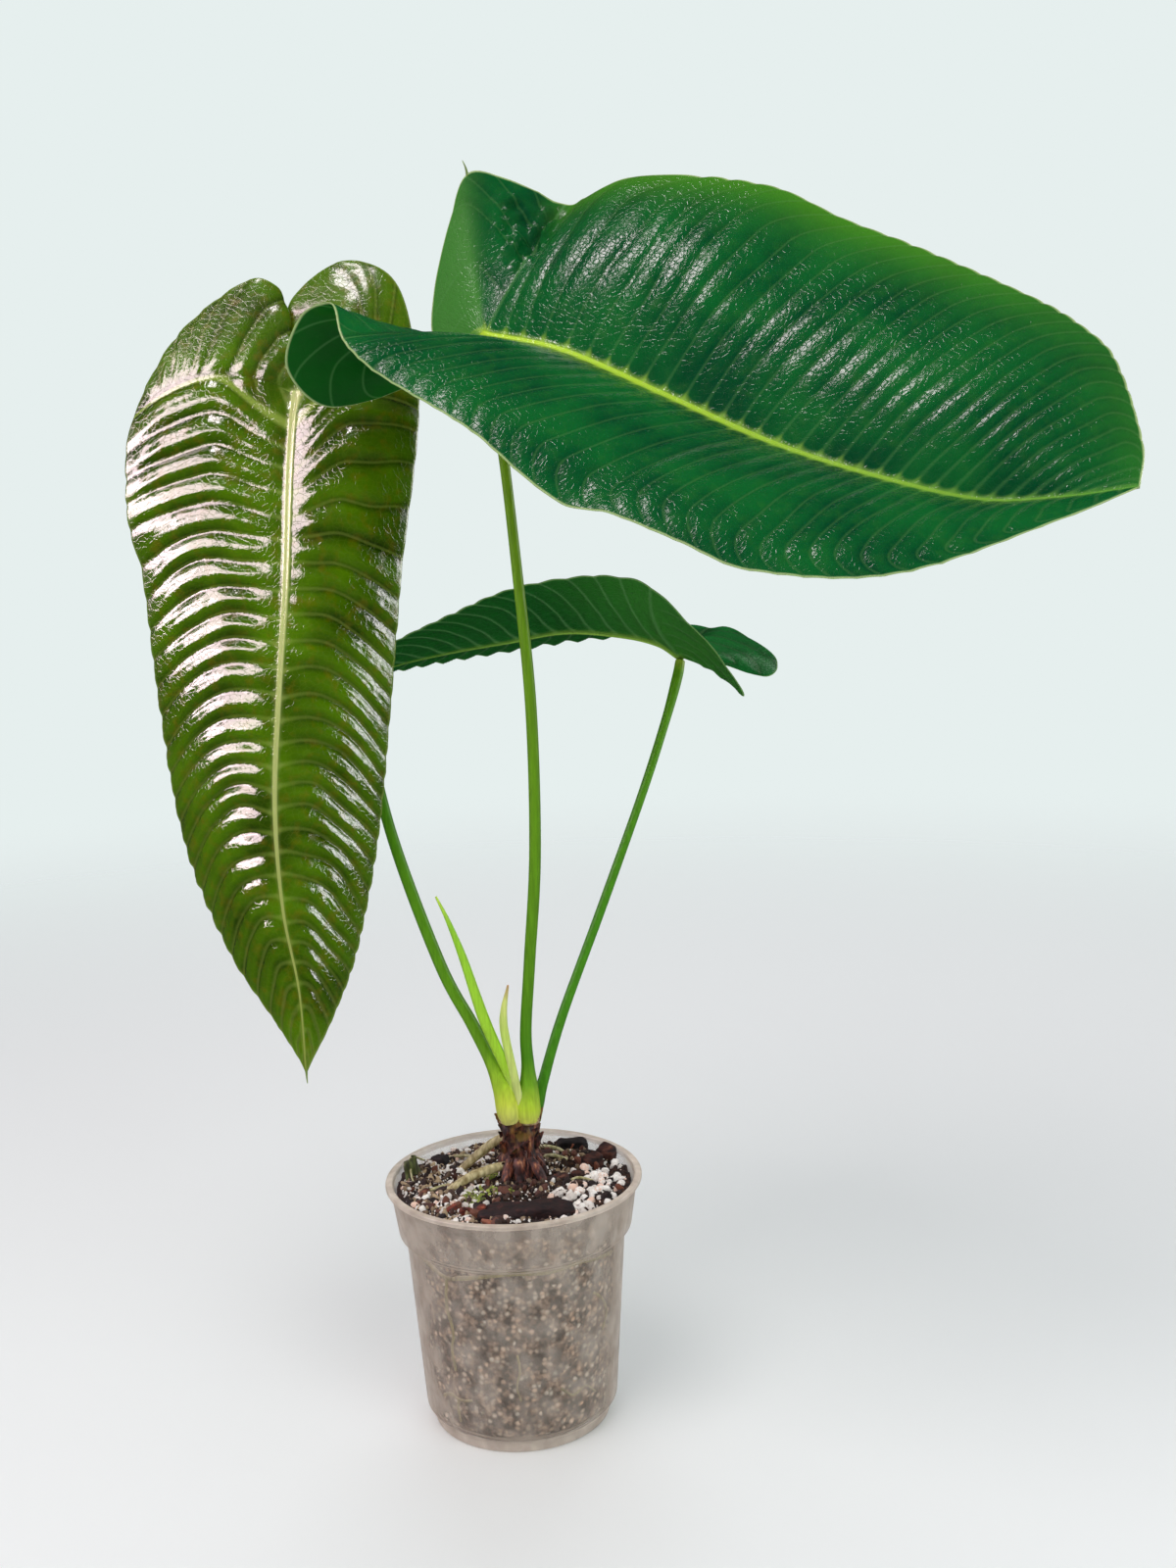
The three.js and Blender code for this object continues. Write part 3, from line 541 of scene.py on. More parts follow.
# What each point of a blade tells its finish. The pleats' width, the span and the distances to the arching
# vein and the margin are in millimetres. The distances to the midrib and its halo are in their own widths.
leafFields = (
    "pleatNumber",
    "pleatWidth",
    "lineMask",
    "archAway",
    "ribAway",
    "edgeAway",
    "crest",
    "length",
    "lobe",
    "farEdgeBacklight",
    "backlitPanel",
    "haloAway",
    "span",
)


def makeBlade(name, leaf, finish):
    # One closed sheet: upper and lower faces, grooves at the veins, a raised midrib and a rounded margin.
    basal, veins = leaf["basal"], leaf["veins"]
    fanned = np.arange(basal * leafMesh["fanSteps"]) / leafMesh["fanSteps"]
    rest = basal + np.arange((veins - basal) * leafMesh["veinSteps"] + 1) / leafMesh["veinSteps"]
    veinAt = np.concatenate([fanned, rest])
    columns, rows = len(veinAt), leafMesh["ribRows"] + leafMesh["bladeRows"]
    halves = [bladeHalf(leaf, leaf[side]) for side in ("left", "right")]
    grids = []
    for side, (point, normal, facing) in enumerate(halves):
        ones = np.ones(columns)
        width = np.linalg.norm(point(veinAt, 0 * ones) - point(veinAt, ones), axis=1)
        length = np.clip((veinAt - basal) / (veins - basal), 0, None)
        rib = leaf["ribRadius"] * (1 - 0.75 * length)
        ribShare = np.minimum(0.3, rib / np.maximum(width, 0.01))
        inner = np.arange(leafMesh["ribRows"]) / leafMesh["ribRows"]
        outer = np.arange(leafMesh["bladeRows"]) / (leafMesh["bladeRows"] - 1)
        outer = 0.5 * outer + 0.5 * (1 - (1 - outer) ** 1.4)
        share = np.concatenate(
            [ribShare[:, None] * inner, ribShare[:, None] + (1 - ribShare[:, None]) * outer], 1
        )
        v = np.repeat(veinAt, rows)
        s = share.ravel()
        w = np.repeat(width, rows)
        place = point(v, s)
        n = normal(v, s)
        mid = np.clip(v, basal, veins - 0.5)
        ribNormal = sum(h[1](mid, np.full(len(mid), 0.12)) for h in halves)
        ribNormal /= np.linalg.norm(ribNormal, axis=1)[:, None]
        onRib = 1 - smooth(s / np.repeat(ribShare, rows) / 1.6)[:, None]
        n = n * (1 - onRib) + ribNormal * onRib
        n /= np.linalg.norm(n, axis=1)[:, None]
        # how far each place is from the veins, by how fast the vein number changes there
        step = 0.02
        alongVein = (point(np.minimum(v + step, veins), s) - point(np.maximum(v - step, 0), s)) / (
            np.minimum(v + step, veins) - np.maximum(v - step, 0)
        )[:, None]
        alongShare = (point(v, np.minimum(s + step, 1)) - point(v, np.maximum(s - step, 0))) / (
            np.minimum(s + step, 1) - np.maximum(s - step, 0)
        )[:, None]
        e = (alongVein**2).sum(1)
        f = (alongVein * alongShare).sum(1)
        g = (alongShare**2).sum(1)
        area = np.maximum(e * g - f * f, 1e-6)

        def leaned(vein, out):
            # off the midrib the veins first run up towards the leaf's base
            return vein - np.interp(vein, *zip(*leaf["veinLean"])) * (1 - smooth(out / 0.5))

        lobe = leaned(v, s) < basal
        archAway = (basal - leaned(v, s)) / np.maximum(np.sqrt(g / area), 1e-6)

        def phaseAt(vein, out):
            # the pleat number: whole at a vein. Towards the margin the veins bend forward to the tip.
            vein = leaned(vein, out)
            reach = np.clip((out - leaf["droopFrom"]) / (1 - leaf["droopFrom"]), 0, None)
            bend = np.interp(vein, *zip(*leaf["droop"])) * reach**2
            sweep = leaf["sweep"][side] * (1 - (1 - out) ** 2) * smooth((vein - basal - 0.5) / 5)
            stray = leaf["wander"] * noise(vein / 2.2, out * 3, side * 50, 5) * smooth((vein - basal) / 2)
            fromRib = np.interp(vein - sweep - bend + stray, *zip(*leaf["pleats"]))
            inLobe = np.interp(branchAt(leaf, np.minimum(vein, basal), out), *zip(*leaf["branches"][side]))
            return np.where(vein < basal, inLobe, fromRib)

        phase = phaseAt(v, s)
        dv = (phaseAt(v + 0.01, s) - phaseAt(v - 0.01, s)) / 0.02
        ds = (phaseAt(v, s + 0.005) - phaseAt(v, s - 0.005)) / 0.01
        perMillimetre = np.sqrt(np.maximum(dv * dv * g - 2 * dv * ds * f + ds * ds * e, 1e-9) / area)
        veinDistance = np.abs(phase - np.round(phase)) / perMillimetre
        # veins are thicker where they begin, and the arching basal vein most of all
        pleatWidth = 1 / perMillimetre / (1 + 1.2 * np.exp(-s * w / 9))
        archDistance = np.abs(archAway) / (1 + leaf["archWidth"] * (1 - s) ** 1.5)
        # across one pleat: a long slope up from the vein, the crest, then a short steep side down
        part = phase - np.floor(phase)
        rising, falling = part / leaf["crestAt"], (1 - part) / (1 - leaf["crestAt"])
        ridged = np.where(part < leaf["crestAt"], smooth(rising), (falling - falling**4 / 4) / 0.75)
        flat = 1 - (1 - np.minimum(rising, falling)) ** 3
        crest = ridged * (1 - leaf["plateau"]) + flat * leaf["plateau"] - 0.5
        waves = np.abs(np.sin(2 * math.pi * phase)) - 0.5
        crest = crest + leaf["between"] / leaf["pleat"] * waves * smooth((s - 0.3) / 0.35)
        clear = np.where(lobe, smooth(archAway / 10), 1)
        crest = np.where(lobe, -0.5 * (1 - clear) + crest * clear, crest)
        start = smooth((s - 0.03) / 0.27)
        tame = 1 - (1 - leaf["marginPleat"]) * smooth((s - 0.55) / 0.45)
        across, along = v * 9, s * w
        onLobe = 1 - smooth((v - basal + 0.8) / 1.2)
        relief = leaf["relief"][side] * (1 - onLobe) + leaf["lobeRelief"][side] * onLobe
        relief = relief * (1 + leaf["uneven"] * noise(across / 16, along / 12, side * 50, 6))
        rise = leaf["pleat"] * relief * crest * start * tame * np.minimum(1, w / 45)
        ripple = noise(across / 7, along / 3.2, side * 50, 3)
        ripple = ripple + 0.6 * noise(across / 3.5, along / 1.8, side * 50, 4)
        calm = smooth(veinDistance / 2.5) * smooth(along / 8)
        rise = rise + leaf["wrinkle"] * ripple * calm
        # the blade falls away from the midrib on both sides
        reached = np.repeat(length, rows)
        crown = smooth(reached / 0.04) * (1 - smooth((reached - 0.6) / 0.3))
        rise = rise + leaf["ribCrown"] * (1 - smooth(along / 24)) * crown
        if leaf.get("pucker"):
            onSide, atVein, atShare, veinReach, shareReach, depth = leaf["pucker"]
            away = np.hypot((v - atVein) / veinReach, (s - atShare) / shareReach)
            crumple = noise(v * 4.2, along / 6.0, 9, 21) + 0.5 * noise(v * 9, along / 2.8, 9, 22)
            rise = rise + (side == onSide) * depth * crumple * (1 - smooth((away - 0.35) / 0.9))
        ribAway = s / np.maximum(np.repeat(ribShare, rows), 1e-6)
        ridge = np.sqrt(np.clip(1 - ribAway**2, 0, 1))
        taper = 1 - 0.8 * reached
        edgeAway = (1 - s) * w
        # painted light: a band along the far half's margin, as if light shone through the thin blade
        farEdgeBacklight = np.exp(-((edgeAway / 14) ** 1.5)) * (side == 0)
        farEdgeBacklight = farEdgeBacklight * smooth((v - basal + 0.6) / 1.2) * (1 - 0.7 * smooth((v - 14) / 10))
        thin = leaf["thickness"] * (0.5 - 0.2 * (1 - smooth(edgeAway / 3)))
        grids.append(
            {
                "over": place + n * (rise + thin + leaf["ribRise"] * ridge * taper)[:, None],
                "under": place + n * (rise - thin - leaf["keel"] * ridge * taper)[:, None],
                "rim": place + n * rise[:, None],
                "outward": alongShare / np.maximum(np.linalg.norm(alongShare, axis=1), 0.01)[:, None],
                "pleatNumber": phase,
                "pleatWidth": np.minimum(pleatWidth, 60),
                "lineMask": np.where(lobe, clear, 1),
                "archAway": archDistance,
                "ribAway": ribAway,
                "edgeAway": edgeAway,
                "crest": crest * start,
                "length": reached,
                "lobe": 1 - smooth((v - basal + 1.2) / 1.6),
                "farEdgeBacklight": farEdgeBacklight,
                # painted light: the far lobe's outer panel, painted paler as if lit through from behind
                "backlitPanel": (side == 0) * (1 - smooth((v - 3.1) / 0.9)) * smooth((v - 0.2) / 0.5),
                "haloAway": s * w / (5 - 3 * reached) / (1 + 1.3 * np.exp(-veinDistance)),
                "span": np.stack([across, along, side * 100 + 0 * v], 1),
                "facing": facing,
            }
        )
    # numbering: the midrib is shared, the fan closes on one point, and so does the tip
    index = np.full((2, columns, rows), -1)
    chosen = []
    for side in (0, 1):
        for column in range(columns):
            for row in range(rows):
                if column == columns - 1 and (side, row) != (0, 0):
                    index[side, column, row] = index[0, columns - 1, 0]
                elif row == 0 and veinAt[column] <= basal and (side, column) != (0, 0):
                    index[side, column, row] = index[0, 0, 0]
                elif row == 0 and side == 1:
                    index[side, column, row] = index[0, column, 0]
                else:
                    index[side, column, row] = len(chosen)
                    chosen.append((side, column * rows + row))
    sides = np.array([c[0] for c in chosen])
    spots = np.array([c[1] for c in chosen])

    def pick(key):
        return np.where(
            (sides == 0).reshape(-1, *[1] * (grids[0][key].ndim - 1)),
            grids[0][key][spots],
            grids[1][key][spots],
        )

    over, under = pick("over"), pick("under")
    count = len(over)
    faces = []
    for side in (0, 1):
        a, b = index[side, :-1, :-1], index[side, 1:, :-1]
        c, d = index[side, 1:, 1:], index[side, :-1, 1:]
        quads = np.stack([a, b, c, d] if grids[side]["facing"] > 0 else [a, d, c, b], -1).reshape(-1, 4)
        faces.extend(quads.tolist())
    faces = [list(dict.fromkeys(face)) for face in faces]
    faces = [face for face in faces if len(face) > 2]
    edges = {}
    for face in faces:
        for i, start in enumerate(face):
            end = face[(i + 1) % len(face)]
            edges[(start, end)] = True
    border = [edge for edge in edges if (edge[1], edge[0]) not in edges]
    rimPoints = pick("rim") + pick("outward") * leafMesh["rimBulge"]
    onBorder = {start: i for i, (start, _) in enumerate(border)}
    rim = np.array([rimPoints[start] for start, _ in border])
    closed = faces + [[i + count for i in reversed(face)] for face in faces]
    for i, (start, end) in enumerate(border):
        this, other = 2 * count + i, 2 * count + onBorder[end]
        closed.append([end, start, this, other])
        closed.append([other, this, start + count, end + count])
    borderStarts = [start for start, _ in border]
    fields = {}
    for key in leafFields:
        value = pick(key)
        fields[key] = np.concatenate([value, value, value[borderStarts]])
    fields["underside"] = np.concatenate([np.zeros(count), np.ones(count), np.full(len(border), 0.5)])
    return newPiece(name, np.vstack([over, under, rim]), closed, finish, fields)


leafLooks = {
    # Young leaf: a thick waxy cuticle still bronze green, so its light breaks into bright wet bands.
    "leaf_left": {
        "finish": "waxy young leaf",
        "slot": "leaf_bronze",
        "dark": "#2e4800",
        "light": "#527a02",
        "warmAndBacklit": "#806400",
        "vein": "#94ac44",
        "rib": "#dfe49a",
        "ribTip": "#8f9c40",
        "margin": "#7d9440",
        "under": "#6f8d3f",
        "underBase": "#7c9a4a",
        "roughness": (0.08, 0.16),
        "specular": 0.75,
        "coat": 0.4,
        "coatRoughness": 0.07,
        "bump": 0.2,
        "veinWidth": 0.5,
        "veinStrength": 0.26,
        "archStrength": 0.85,
        "backlightStrength": 0.0,
        "net": 0.06,
        "warmth": 0.45,
        "crinkle": (0.34, 0.2, 0.14),
        # painted shade: how dark the colour gets deep in a pleat
        "grooveShadeLevel": 0.45,
        "halo": 0.25,
        "lobeDull": 0.1,
    },
    # Hardened leaf: satin blue green with a network of fine veins and a yellow-green midrib.
    "leaf_right": {
        "finish": "satin grown leaf",
        "slot": "leaf_green",
        "dark": "#004424",
        "light": "#0a6028",
        "warmAndBacklit": "#4c9018",
        "vein": "#5f9a58",
        "rib": "#bfe23c",
        "ribTip": "#5c9a3c",
        "margin": "#b4c98a",
        "under": "#0d5a12",
        "underBase": "#0f5a14",
        "roughness": (0.13, 0.22),
        "specular": 0.5,
        "coat": 0.0,
        "coatRoughness": 0.3,
        "bump": 0.22,
        "veinWidth": 0.42,
        "veinStrength": 0.17,
        "archStrength": 0.35,
        # painted light along the far margin, as if light shone through the blade
        "backlightStrength": 0.75,
        "net": 0.02,
        "warmth": 0.1,
        # painted light: the far lobe's outer panel's paler colour, as if lit through from behind
        "backlitPanel": "#4a8838",
        "crinkle": (0.9, 0.25, 0.12),
        # painted shade: how dark the colour gets deep in a pleat
        "grooveShadeLevel": 0.7,
        "halo": 0.7,
        "lobeDull": 0.05,
    },
    # Older leaf in the shade of the others: matt, with a blue cast on its upper side.
    "leaf_back": {
        "finish": "matt shaded leaf",
        "slot": "leaf_green",
        "dark": "#02561c",
        "light": "#0c7a2e",
        "warmAndBacklit": "#2a7a20",
        "vein": "#5f9058",
        "rib": "#8fb844",
        "ribTip": "#5d8a34",
        "margin": "#7ba45e",
        "under": "#0e5616",
        "underBase": "#2f7420",
        "roughness": (0.34, 0.48),
        "specular": 0.15,
        "coat": 0.0,
        "coatRoughness": 0.3,
        "bump": 0.4,
        "veinWidth": 0.5,
        "veinStrength": 0.22,
        "archStrength": 0.3,
        # painted light along the far margin, as if light shone through the blade
        "backlightStrength": 0.3,
        "net": 0.02,
        "warmth": 0.12,
        "crinkle": (0.6, 0.3, 0.12),
        # painted shade: how dark the colour gets deep in a pleat
        "grooveShadeLevel": 0.6,
        "halo": 0.3,
        "lobeDull": 0.1,
    },
}


def leafFinish(look):
    finish, add, setShader = newFinish(look["finish"])
    spot = add("TexCoord").outputs["Object"]
    keys = [key for key in leafFields if key != "span"] + ["underside"]
    field = {key: add("Attribute", attribute_name=key).outputs["Fac"] for key in keys}
    # millimetres to the nearest vein: how far the pleat number is from a whole one, times the pleat's width
    part = add("Math", {0: field["pleatNumber"], 1: 0.5}, operation="ADD").outputs[0]
    part = add("Math", {0: part}, operation="FRACT").outputs[0]
    part = add("Math", {0: part, 1: 0.5}, operation="SUBTRACT").outputs[0]
    part = add("Math", {0: part}, operation="ABSOLUTE").outputs[0]
    veinAway = add("Math", {0: part, 1: field["pleatWidth"]}, operation="MULTIPLY").outputs[0]
    # patches about 30 mm across, mottling about 5 mm across and the net veins' cells about 2.6 mm across
    patches = add("TexNoise", {"Vector": spot, "Scale": 1 / (30 * mm), "Detail": 3.0}).outputs[0]
    mottle = add("TexNoise", {"Vector": spot, "Scale": 1 / (5 * mm), "Detail": 4.0}).outputs[0]
    cells = add("TexVoronoi", {"Vector": spot, "Scale": 1 / (2.6 * mm)}, feature="DISTANCE_TO_EDGE").outputs
    fading = {
        # what it fades away from, where it begins to fade, where it has gone, and its strength
        "net": (cells["Distance"], 0.0, 0.09, 1.0),
        "vein": (veinAway, 0.1, look["veinWidth"] * 2, look["veinStrength"]),
        "arch": (field["archAway"], 0.2, look["veinWidth"] * 2.5, look["archStrength"]),
        "halo": (field["haloAway"], 0.0, 1.0, look["halo"]),
        "rib": (field["ribAway"], 0.55, 1.15, 1.0),
        "edge": (field["edgeAway"], 0.1, 1.0, 0.8),
    }
    line = {}
    for key, (away, near, far, strength) in fading.items():
        reach = {0: away, 1: near, 2: far, 3: strength, 4: 0.0}
        line[key] = add("MapRange", reach, interpolation_type="SMOOTHSTEP").outputs[0]

    blend = add("MapRange", {0: patches, 1: 0.35, 2: 0.65}).outputs[0]
    dark, light = linear(look["dark"]), linear(look["light"])
    colour = add("Mix", {0: blend, 6: dark, 7: light}, data_type="RGBA").outputs[2]
    # painted light: towards a pleat's crest the colour is lightened
    paintedCrestLight = add("MapRange", {0: field["crest"], 1: 0.1, 2: 0.5, 3: 0.0, 4: 0.35}).outputs[0]
    colour = add("Mix", {0: paintedCrestLight, 6: colour, 7: light}, data_type="RGBA").outputs[2]
    # painted shade: deep in a pleat the colour is darkened
    paintedGrooveShade = add("MapRange", {0: field["crest"], 1: -0.5, 2: -0.05, 3: look["grooveShadeLevel"], 4: 1.0}).outputs[0]
    colour = add("VectorMath", {0: colour, "Scale": paintedGrooveShade}, operation="SCALE").outputs[0]

    # then each colour lies over the ones before it, by its own share
    warmth = add("MapRange", {0: mottle, 1: 0.5, 2: 0.8, 3: 0.0, 4: look["warmth"]}).outputs[0]
    layers = [(warmth, linear(look["warmAndBacklit"]))]
    # painted light: along the far margin the colour turns to the warm green, as if light shone through
    if look["backlightStrength"]:
        band = add("Math", {0: field["farEdgeBacklight"], 1: look["backlightStrength"]}, operation="MULTIPLY").outputs[0]
        layers.append((band, linear(look["warmAndBacklit"])))
    if look.get("backlitPanel"):
        # painted light: the far lobe's outer panel is painted paler, as if lit through from behind
        backlitPanelShare = add("Math", {0: field["backlitPanel"], 1: 0.85}, operation="MULTIPLY").outputs[0]
        layers.append((backlitPanelShare, linear(look["backlitPanel"])))
    netShare = add("Math", {0: line["net"], 1: look["net"]}, operation="MULTIPLY").outputs[0]
    # the underside has its own green, another one at the leaf's base, and stronger veins
    underShare = add("Math", {0: field["underside"], 1: 0.9}, operation="MULTIPLY").outputs[0]
    outward = add("MapRange", {0: field["length"], 1: 0.0, 2: 0.3}).outputs[0]
    under, underBase = linear(look["under"]), linear(look["underBase"])
    below = add("Mix", {0: outward, 6: underBase, 7: under}, data_type="RGBA").outputs[2]
    stronger = add("Math", {0: field["underside"], 1: 0.7, 2: 1.0}, operation="MULTIPLY_ADD").outputs[0]
    veinShare = add("Math", {0: line["vein"], 1: field["lineMask"]}, operation="MULTIPLY").outputs[0]
    veinShare = add("Math", {0: veinShare, 1: stronger}, operation="MULTIPLY").outputs[0]
    veinShare = add("Math", {0: veinShare, 1: line["arch"]}, operation="MAXIMUM").outputs[0]
    # the midrib is palest at its thick end, and a soft halo runs out from it along the veins
    rib, ribTip = linear(look["rib"]), linear(look["ribTip"])
    ribColour = add("Mix", {0: field["length"], 6: rib, 7: ribTip}, data_type="RGBA").outputs[2]
    layers += [
        (netShare, linear(look["vein"])),
        (underShare, below),
        (veinShare, linear(look["vein"])),
        (line["halo"], ribColour),
        (line["rib"], ribColour),
        (line["edge"], linear(look["margin"])),
    ]
    for share, over in layers:
        colour = add("Mix", {0: share, 6: colour, 7: over}, data_type="RGBA").outputs[2]

    smoothest, roughest = look["roughness"]
    gloss = add("MapRange", {0: mottle, 1: 0.3, 2: 0.7, 3: smoothest, 4: roughest}).outputs[0]
    # the lobes and the last few millimetres of the margin are duller
    edgeDull = add("MapRange", {0: field["edgeAway"], 1: 1.0, 2: 6.0, 3: 1.0, 4: 0.0}).outputs[0]
    dull = add("Math", {0: field["lobe"], 1: edgeDull}, operation="MAXIMUM").outputs[0]
    gloss = add("Math", {0: dull, 1: look["lobeDull"], 2: gloss}, operation="MULTIPLY_ADD").outputs[0]
    raised = add("Math", {0: mottle, 1: 0.8}, operation="MULTIPLY").outputs[0]
    raised = add("Math", {0: raised, 1: line["net"]}, operation="SUBTRACT").outputs[0]
    bump = add("Bump", {"Height": raised, "Distance": 0.35 * mm, "Strength": look["bump"]}).outputs[0]
    # fine crinkles run with the veins, and break the gleams into ragged strokes
    acrossScale, alongScale, depth = look["crinkle"]
    span = add("Attribute", attribute_name="span").outputs["Vector"]
    span = add("Mapping", {"Vector": span, "Scale": (acrossScale, alongScale, 1.0)}).outputs[0]
    crinkle = add("TexNoise", {"Vector": span, "Scale": 1.0, "Detail": 2.0}).outputs[0]
    crinkled = {"Height": crinkle, "Normal": bump, "Distance": depth * 2 * mm, "Strength": 1.0}
    setShader(
        {
            "Base Color": colour,
            "Roughness": gloss,
            "Normal": add("Bump", crinkled).outputs[0],
            "IOR": 1.45,
            "Specular IOR Level": look["specular"],
            "Coat Weight": look["coat"],
            "Coat Roughness": look["coatRoughness"],
            "Subsurface Weight": 0.08,
            "Subsurface Radius": (0.4 * mm, 1.2 * mm, 0.2 * mm),
            "Subsurface Scale": 1.0,
        }
    )
    return finish


# the windows on the left give the right leaf no gleam, so that its green stays deep
shaded = bpy.data.collections.new("outOfTheLeftWindow")
for window in ("leftWindow", "lowWindow"):
    bpy.data.objects[window].light_linking.receiver_collection = shaded
for name, leaf in leaves.items():
    blade = makeBlade(name + "_blade", leaf, leafFinish(leafLooks[name]))
    settle(blade, leafLooks[name]["slot"], name)
    if name == "leaf_right":
        shaded.objects.link(blade)
        shaded.collection_objects[0].light_linking.link_state = "EXCLUDE"
    print(name, "made:", len(blade.data.polygons), "faces")

stalks = {
    "petiole_left": {
        "rows": [
            [-0.6, 4.6, 141.0, 4.6],
            [-1.5, 4.0, 147, 5.9],
            [-3.6, 4.6, 157, 5.0],
            [-8.8, 6.0, 170, 3.3],
            [-17, 7, 188, 2.9],
            [-31, 9, 217, 2.8],
            [-51, 14, 278, 2.6],
            [-62, 20, 333, 2.5],
            [-70, 27, 383, 2.5],
            [-77, 35, 427, 2.6],
            [-83, 38, 462, 3],
            [-84.8, 28.6, 476.2, 2.8],
        ],
        "flat": 1,
        "slot": "petiole",
    },
    "petiole_middle": {
        "rows": [
            [7.2, 4.6, 141.0, 5.0],
            [7.5, 4.6, 147, 6.1],
            [8.3, 5.2, 157, 4.5],
            [8.3, 5.2, 168, 3.1],
            [8, 5, 185, 2.7],
            [11, 4, 218, 2.7],
            [15.5, 3, 270, 2.7],
            [16, 4, 337, 2.6],
            [12, 6, 398, 2.4],
            [8, 6, 448, 2.3],
            [4, 4, 480, 2.8],
            [2, 1, 499, 2.8],
        ],
        "flat": 1,
        "slot": "petiole",
    },
    "petiole_right": {
        "rows": [
            [10.5, 12, 138, 2.6],
            [11.8, 13.2, 146, 3.2],
            [15, 15, 157, 2.6],
            [25, 24, 186, 2.3],
            [45, 40, 233, 2.2],
            [67, 58, 286, 2.1],
            [80, 72, 320, 2.2],
            [86.6, 80.2, 340, 2.6],
            [88.6, 84, 348.1, 2.4],
        ],
        "flat": 1,
        "slot": "petiole",
    },
    "new_leaf": {
        "rows": [
            [3, 3.4, 146, 1.6],
            [1.2, 3, 158, 2.0],
            [-3.5, 1.4, 172, 2.4],
            [-11, -1, 193, 2.6],
            [-19, -3, 222, 1.9],
            [-25, -4, 240, 1.1],
            [-30, -5, 252, 0.5],
        ],
        "flat": 1,
        "slot": "new_growth",
    },
    "cataphyll": {
        "rows": [
            [5, 1.6, 146, 1.2],
            [3, 1.2, 158, 1.9],
            [-1.4, -0.8, 184, 2.0],
            [-1.6, -1.8, 196, 1.6],
            [1, -3, 209, 0.45],
        ],
        "flat": 0.55,
        "slot": "new_growth",
    },
}
stalkMesh = {"sides": 28, "steps": 120}


def tube(rows, sides, steps, flat=1.0, shape=None):
    # A closed tube through rows of [x, y, z, radius]. Gives points, faces and shares of the length.
    line = through([[i, *row] for i, row in enumerate(rows)])
    last = len(rows) - 1
    knots = np.linspace(0, last, steps + 1)
    at = line(knots)
    along = line(np.minimum(knots + 0.02, last))[:, :3] - line(np.maximum(knots - 0.02, 0))[:, :3]
    along /= np.linalg.norm(along, axis=1)[:, None]
    across = np.array([0.0, -1.0, 0.0])
    turnAt = np.arange(sides) / sides * 2 * math.pi
    points, length = [], []
    for step in range(steps + 1):
        across = across - along[step] * (across @ along[step])
        across /= np.linalg.norm(across)
        side = np.cross(along[step], across)
        radius = at[step, 3] * (shape(turnAt, step / steps) if shape else 1)
        ring = (
            at[step, :3]
            + np.outer(np.cos(turnAt) * radius, side)
            + np.outer(np.sin(turnAt) * radius * flat, across)
        )
        points.append(ring)
        length.append(np.full(sides, step / steps))
    faces = []
    for step in range(steps):
        for turn in range(sides):
            here, there = step * sides + turn, step * sides + (turn + 1) % sides
            faces.append([here, here + sides, there + sides, there])
    points = np.vstack(points)
    foot, top = len(points), len(points) + 1
    ends = [at[0, :3] - along[0] * at[0, 3] * 0.3, at[-1, :3] + along[-1] * at[-1, 3] * 0.3]
    for turn in range(sides):
        after = (turn + 1) % sides
        faces.append([foot, turn, after])
        faces.append([top, steps * sides + after, steps * sides + turn])
    return np.vstack([points, ends]), faces, np.concatenate([*length, [0, 1]])


def joined(shapes):
    # Puts several [points, faces] shapes into one list of points and one of faces.
    points, faces, count = [], [], 0
    for shapePoints, shapeFaces, *_ in shapes:
        points.append(shapePoints)
        faces += [[i + count for i in face] for face in shapeFaces]
        count += len(shapePoints)
    return np.vstack(points), faces


def stalkShape(angle, share):
    # Slightly angular, and a little thicker and thinner along its length.
    return 1 + 0.02 * np.cos(5 * angle + 2) + 0.012 * np.cos(9 * angle) + 0.01 * math.sin(share * 40)


# Stalk skin: smooth and fleshy, with faint lengthwise lines. It shines softly and is yellow at its foot.
stalkLooks = {
    # share of the length, and the colour there
    "petiole_left": [
        (0.0, "#e8e48a"),
        (0.13, "#d2e04c"),
        (0.2, "#a4c832"),
        (0.3, "#6fa41c"),
        (0.6, "#4c8c0c"),
        (1.0, "#86a83a"),
    ],
    "petiole_middle": [
        (0.0, "#dfe26a"),
        (0.1, "#bcd63c"),
        (0.2, "#78aa24"),
        (0.3, "#4e8c14"),
        (0.6, "#6a9c14"),
        (1.0, "#94c01e"),
    ],
    "petiole_right": [
        (0.0, "#9cb03c"),
        (0.12, "#4c8e1c"),
        (0.5, "#4c9416"),
        (0.9, "#74b41c"),
        (1.0, "#c0dc4a"),
    ],
    "new_leaf": [(0.0, "#d6d88c"), (0.3, "#aedc3a"), (0.8, "#98d436"), (1.0, "#c2e056")],
    "cataphyll": [(0.0, "#dcdc9a"), (0.5, "#cbe46e"), (0.85, "#d6de82"), (1.0, "#c0956c")],
    "thread": [(0.0, "#5c7a30"), (1.0, "#8a9a5a")],
}


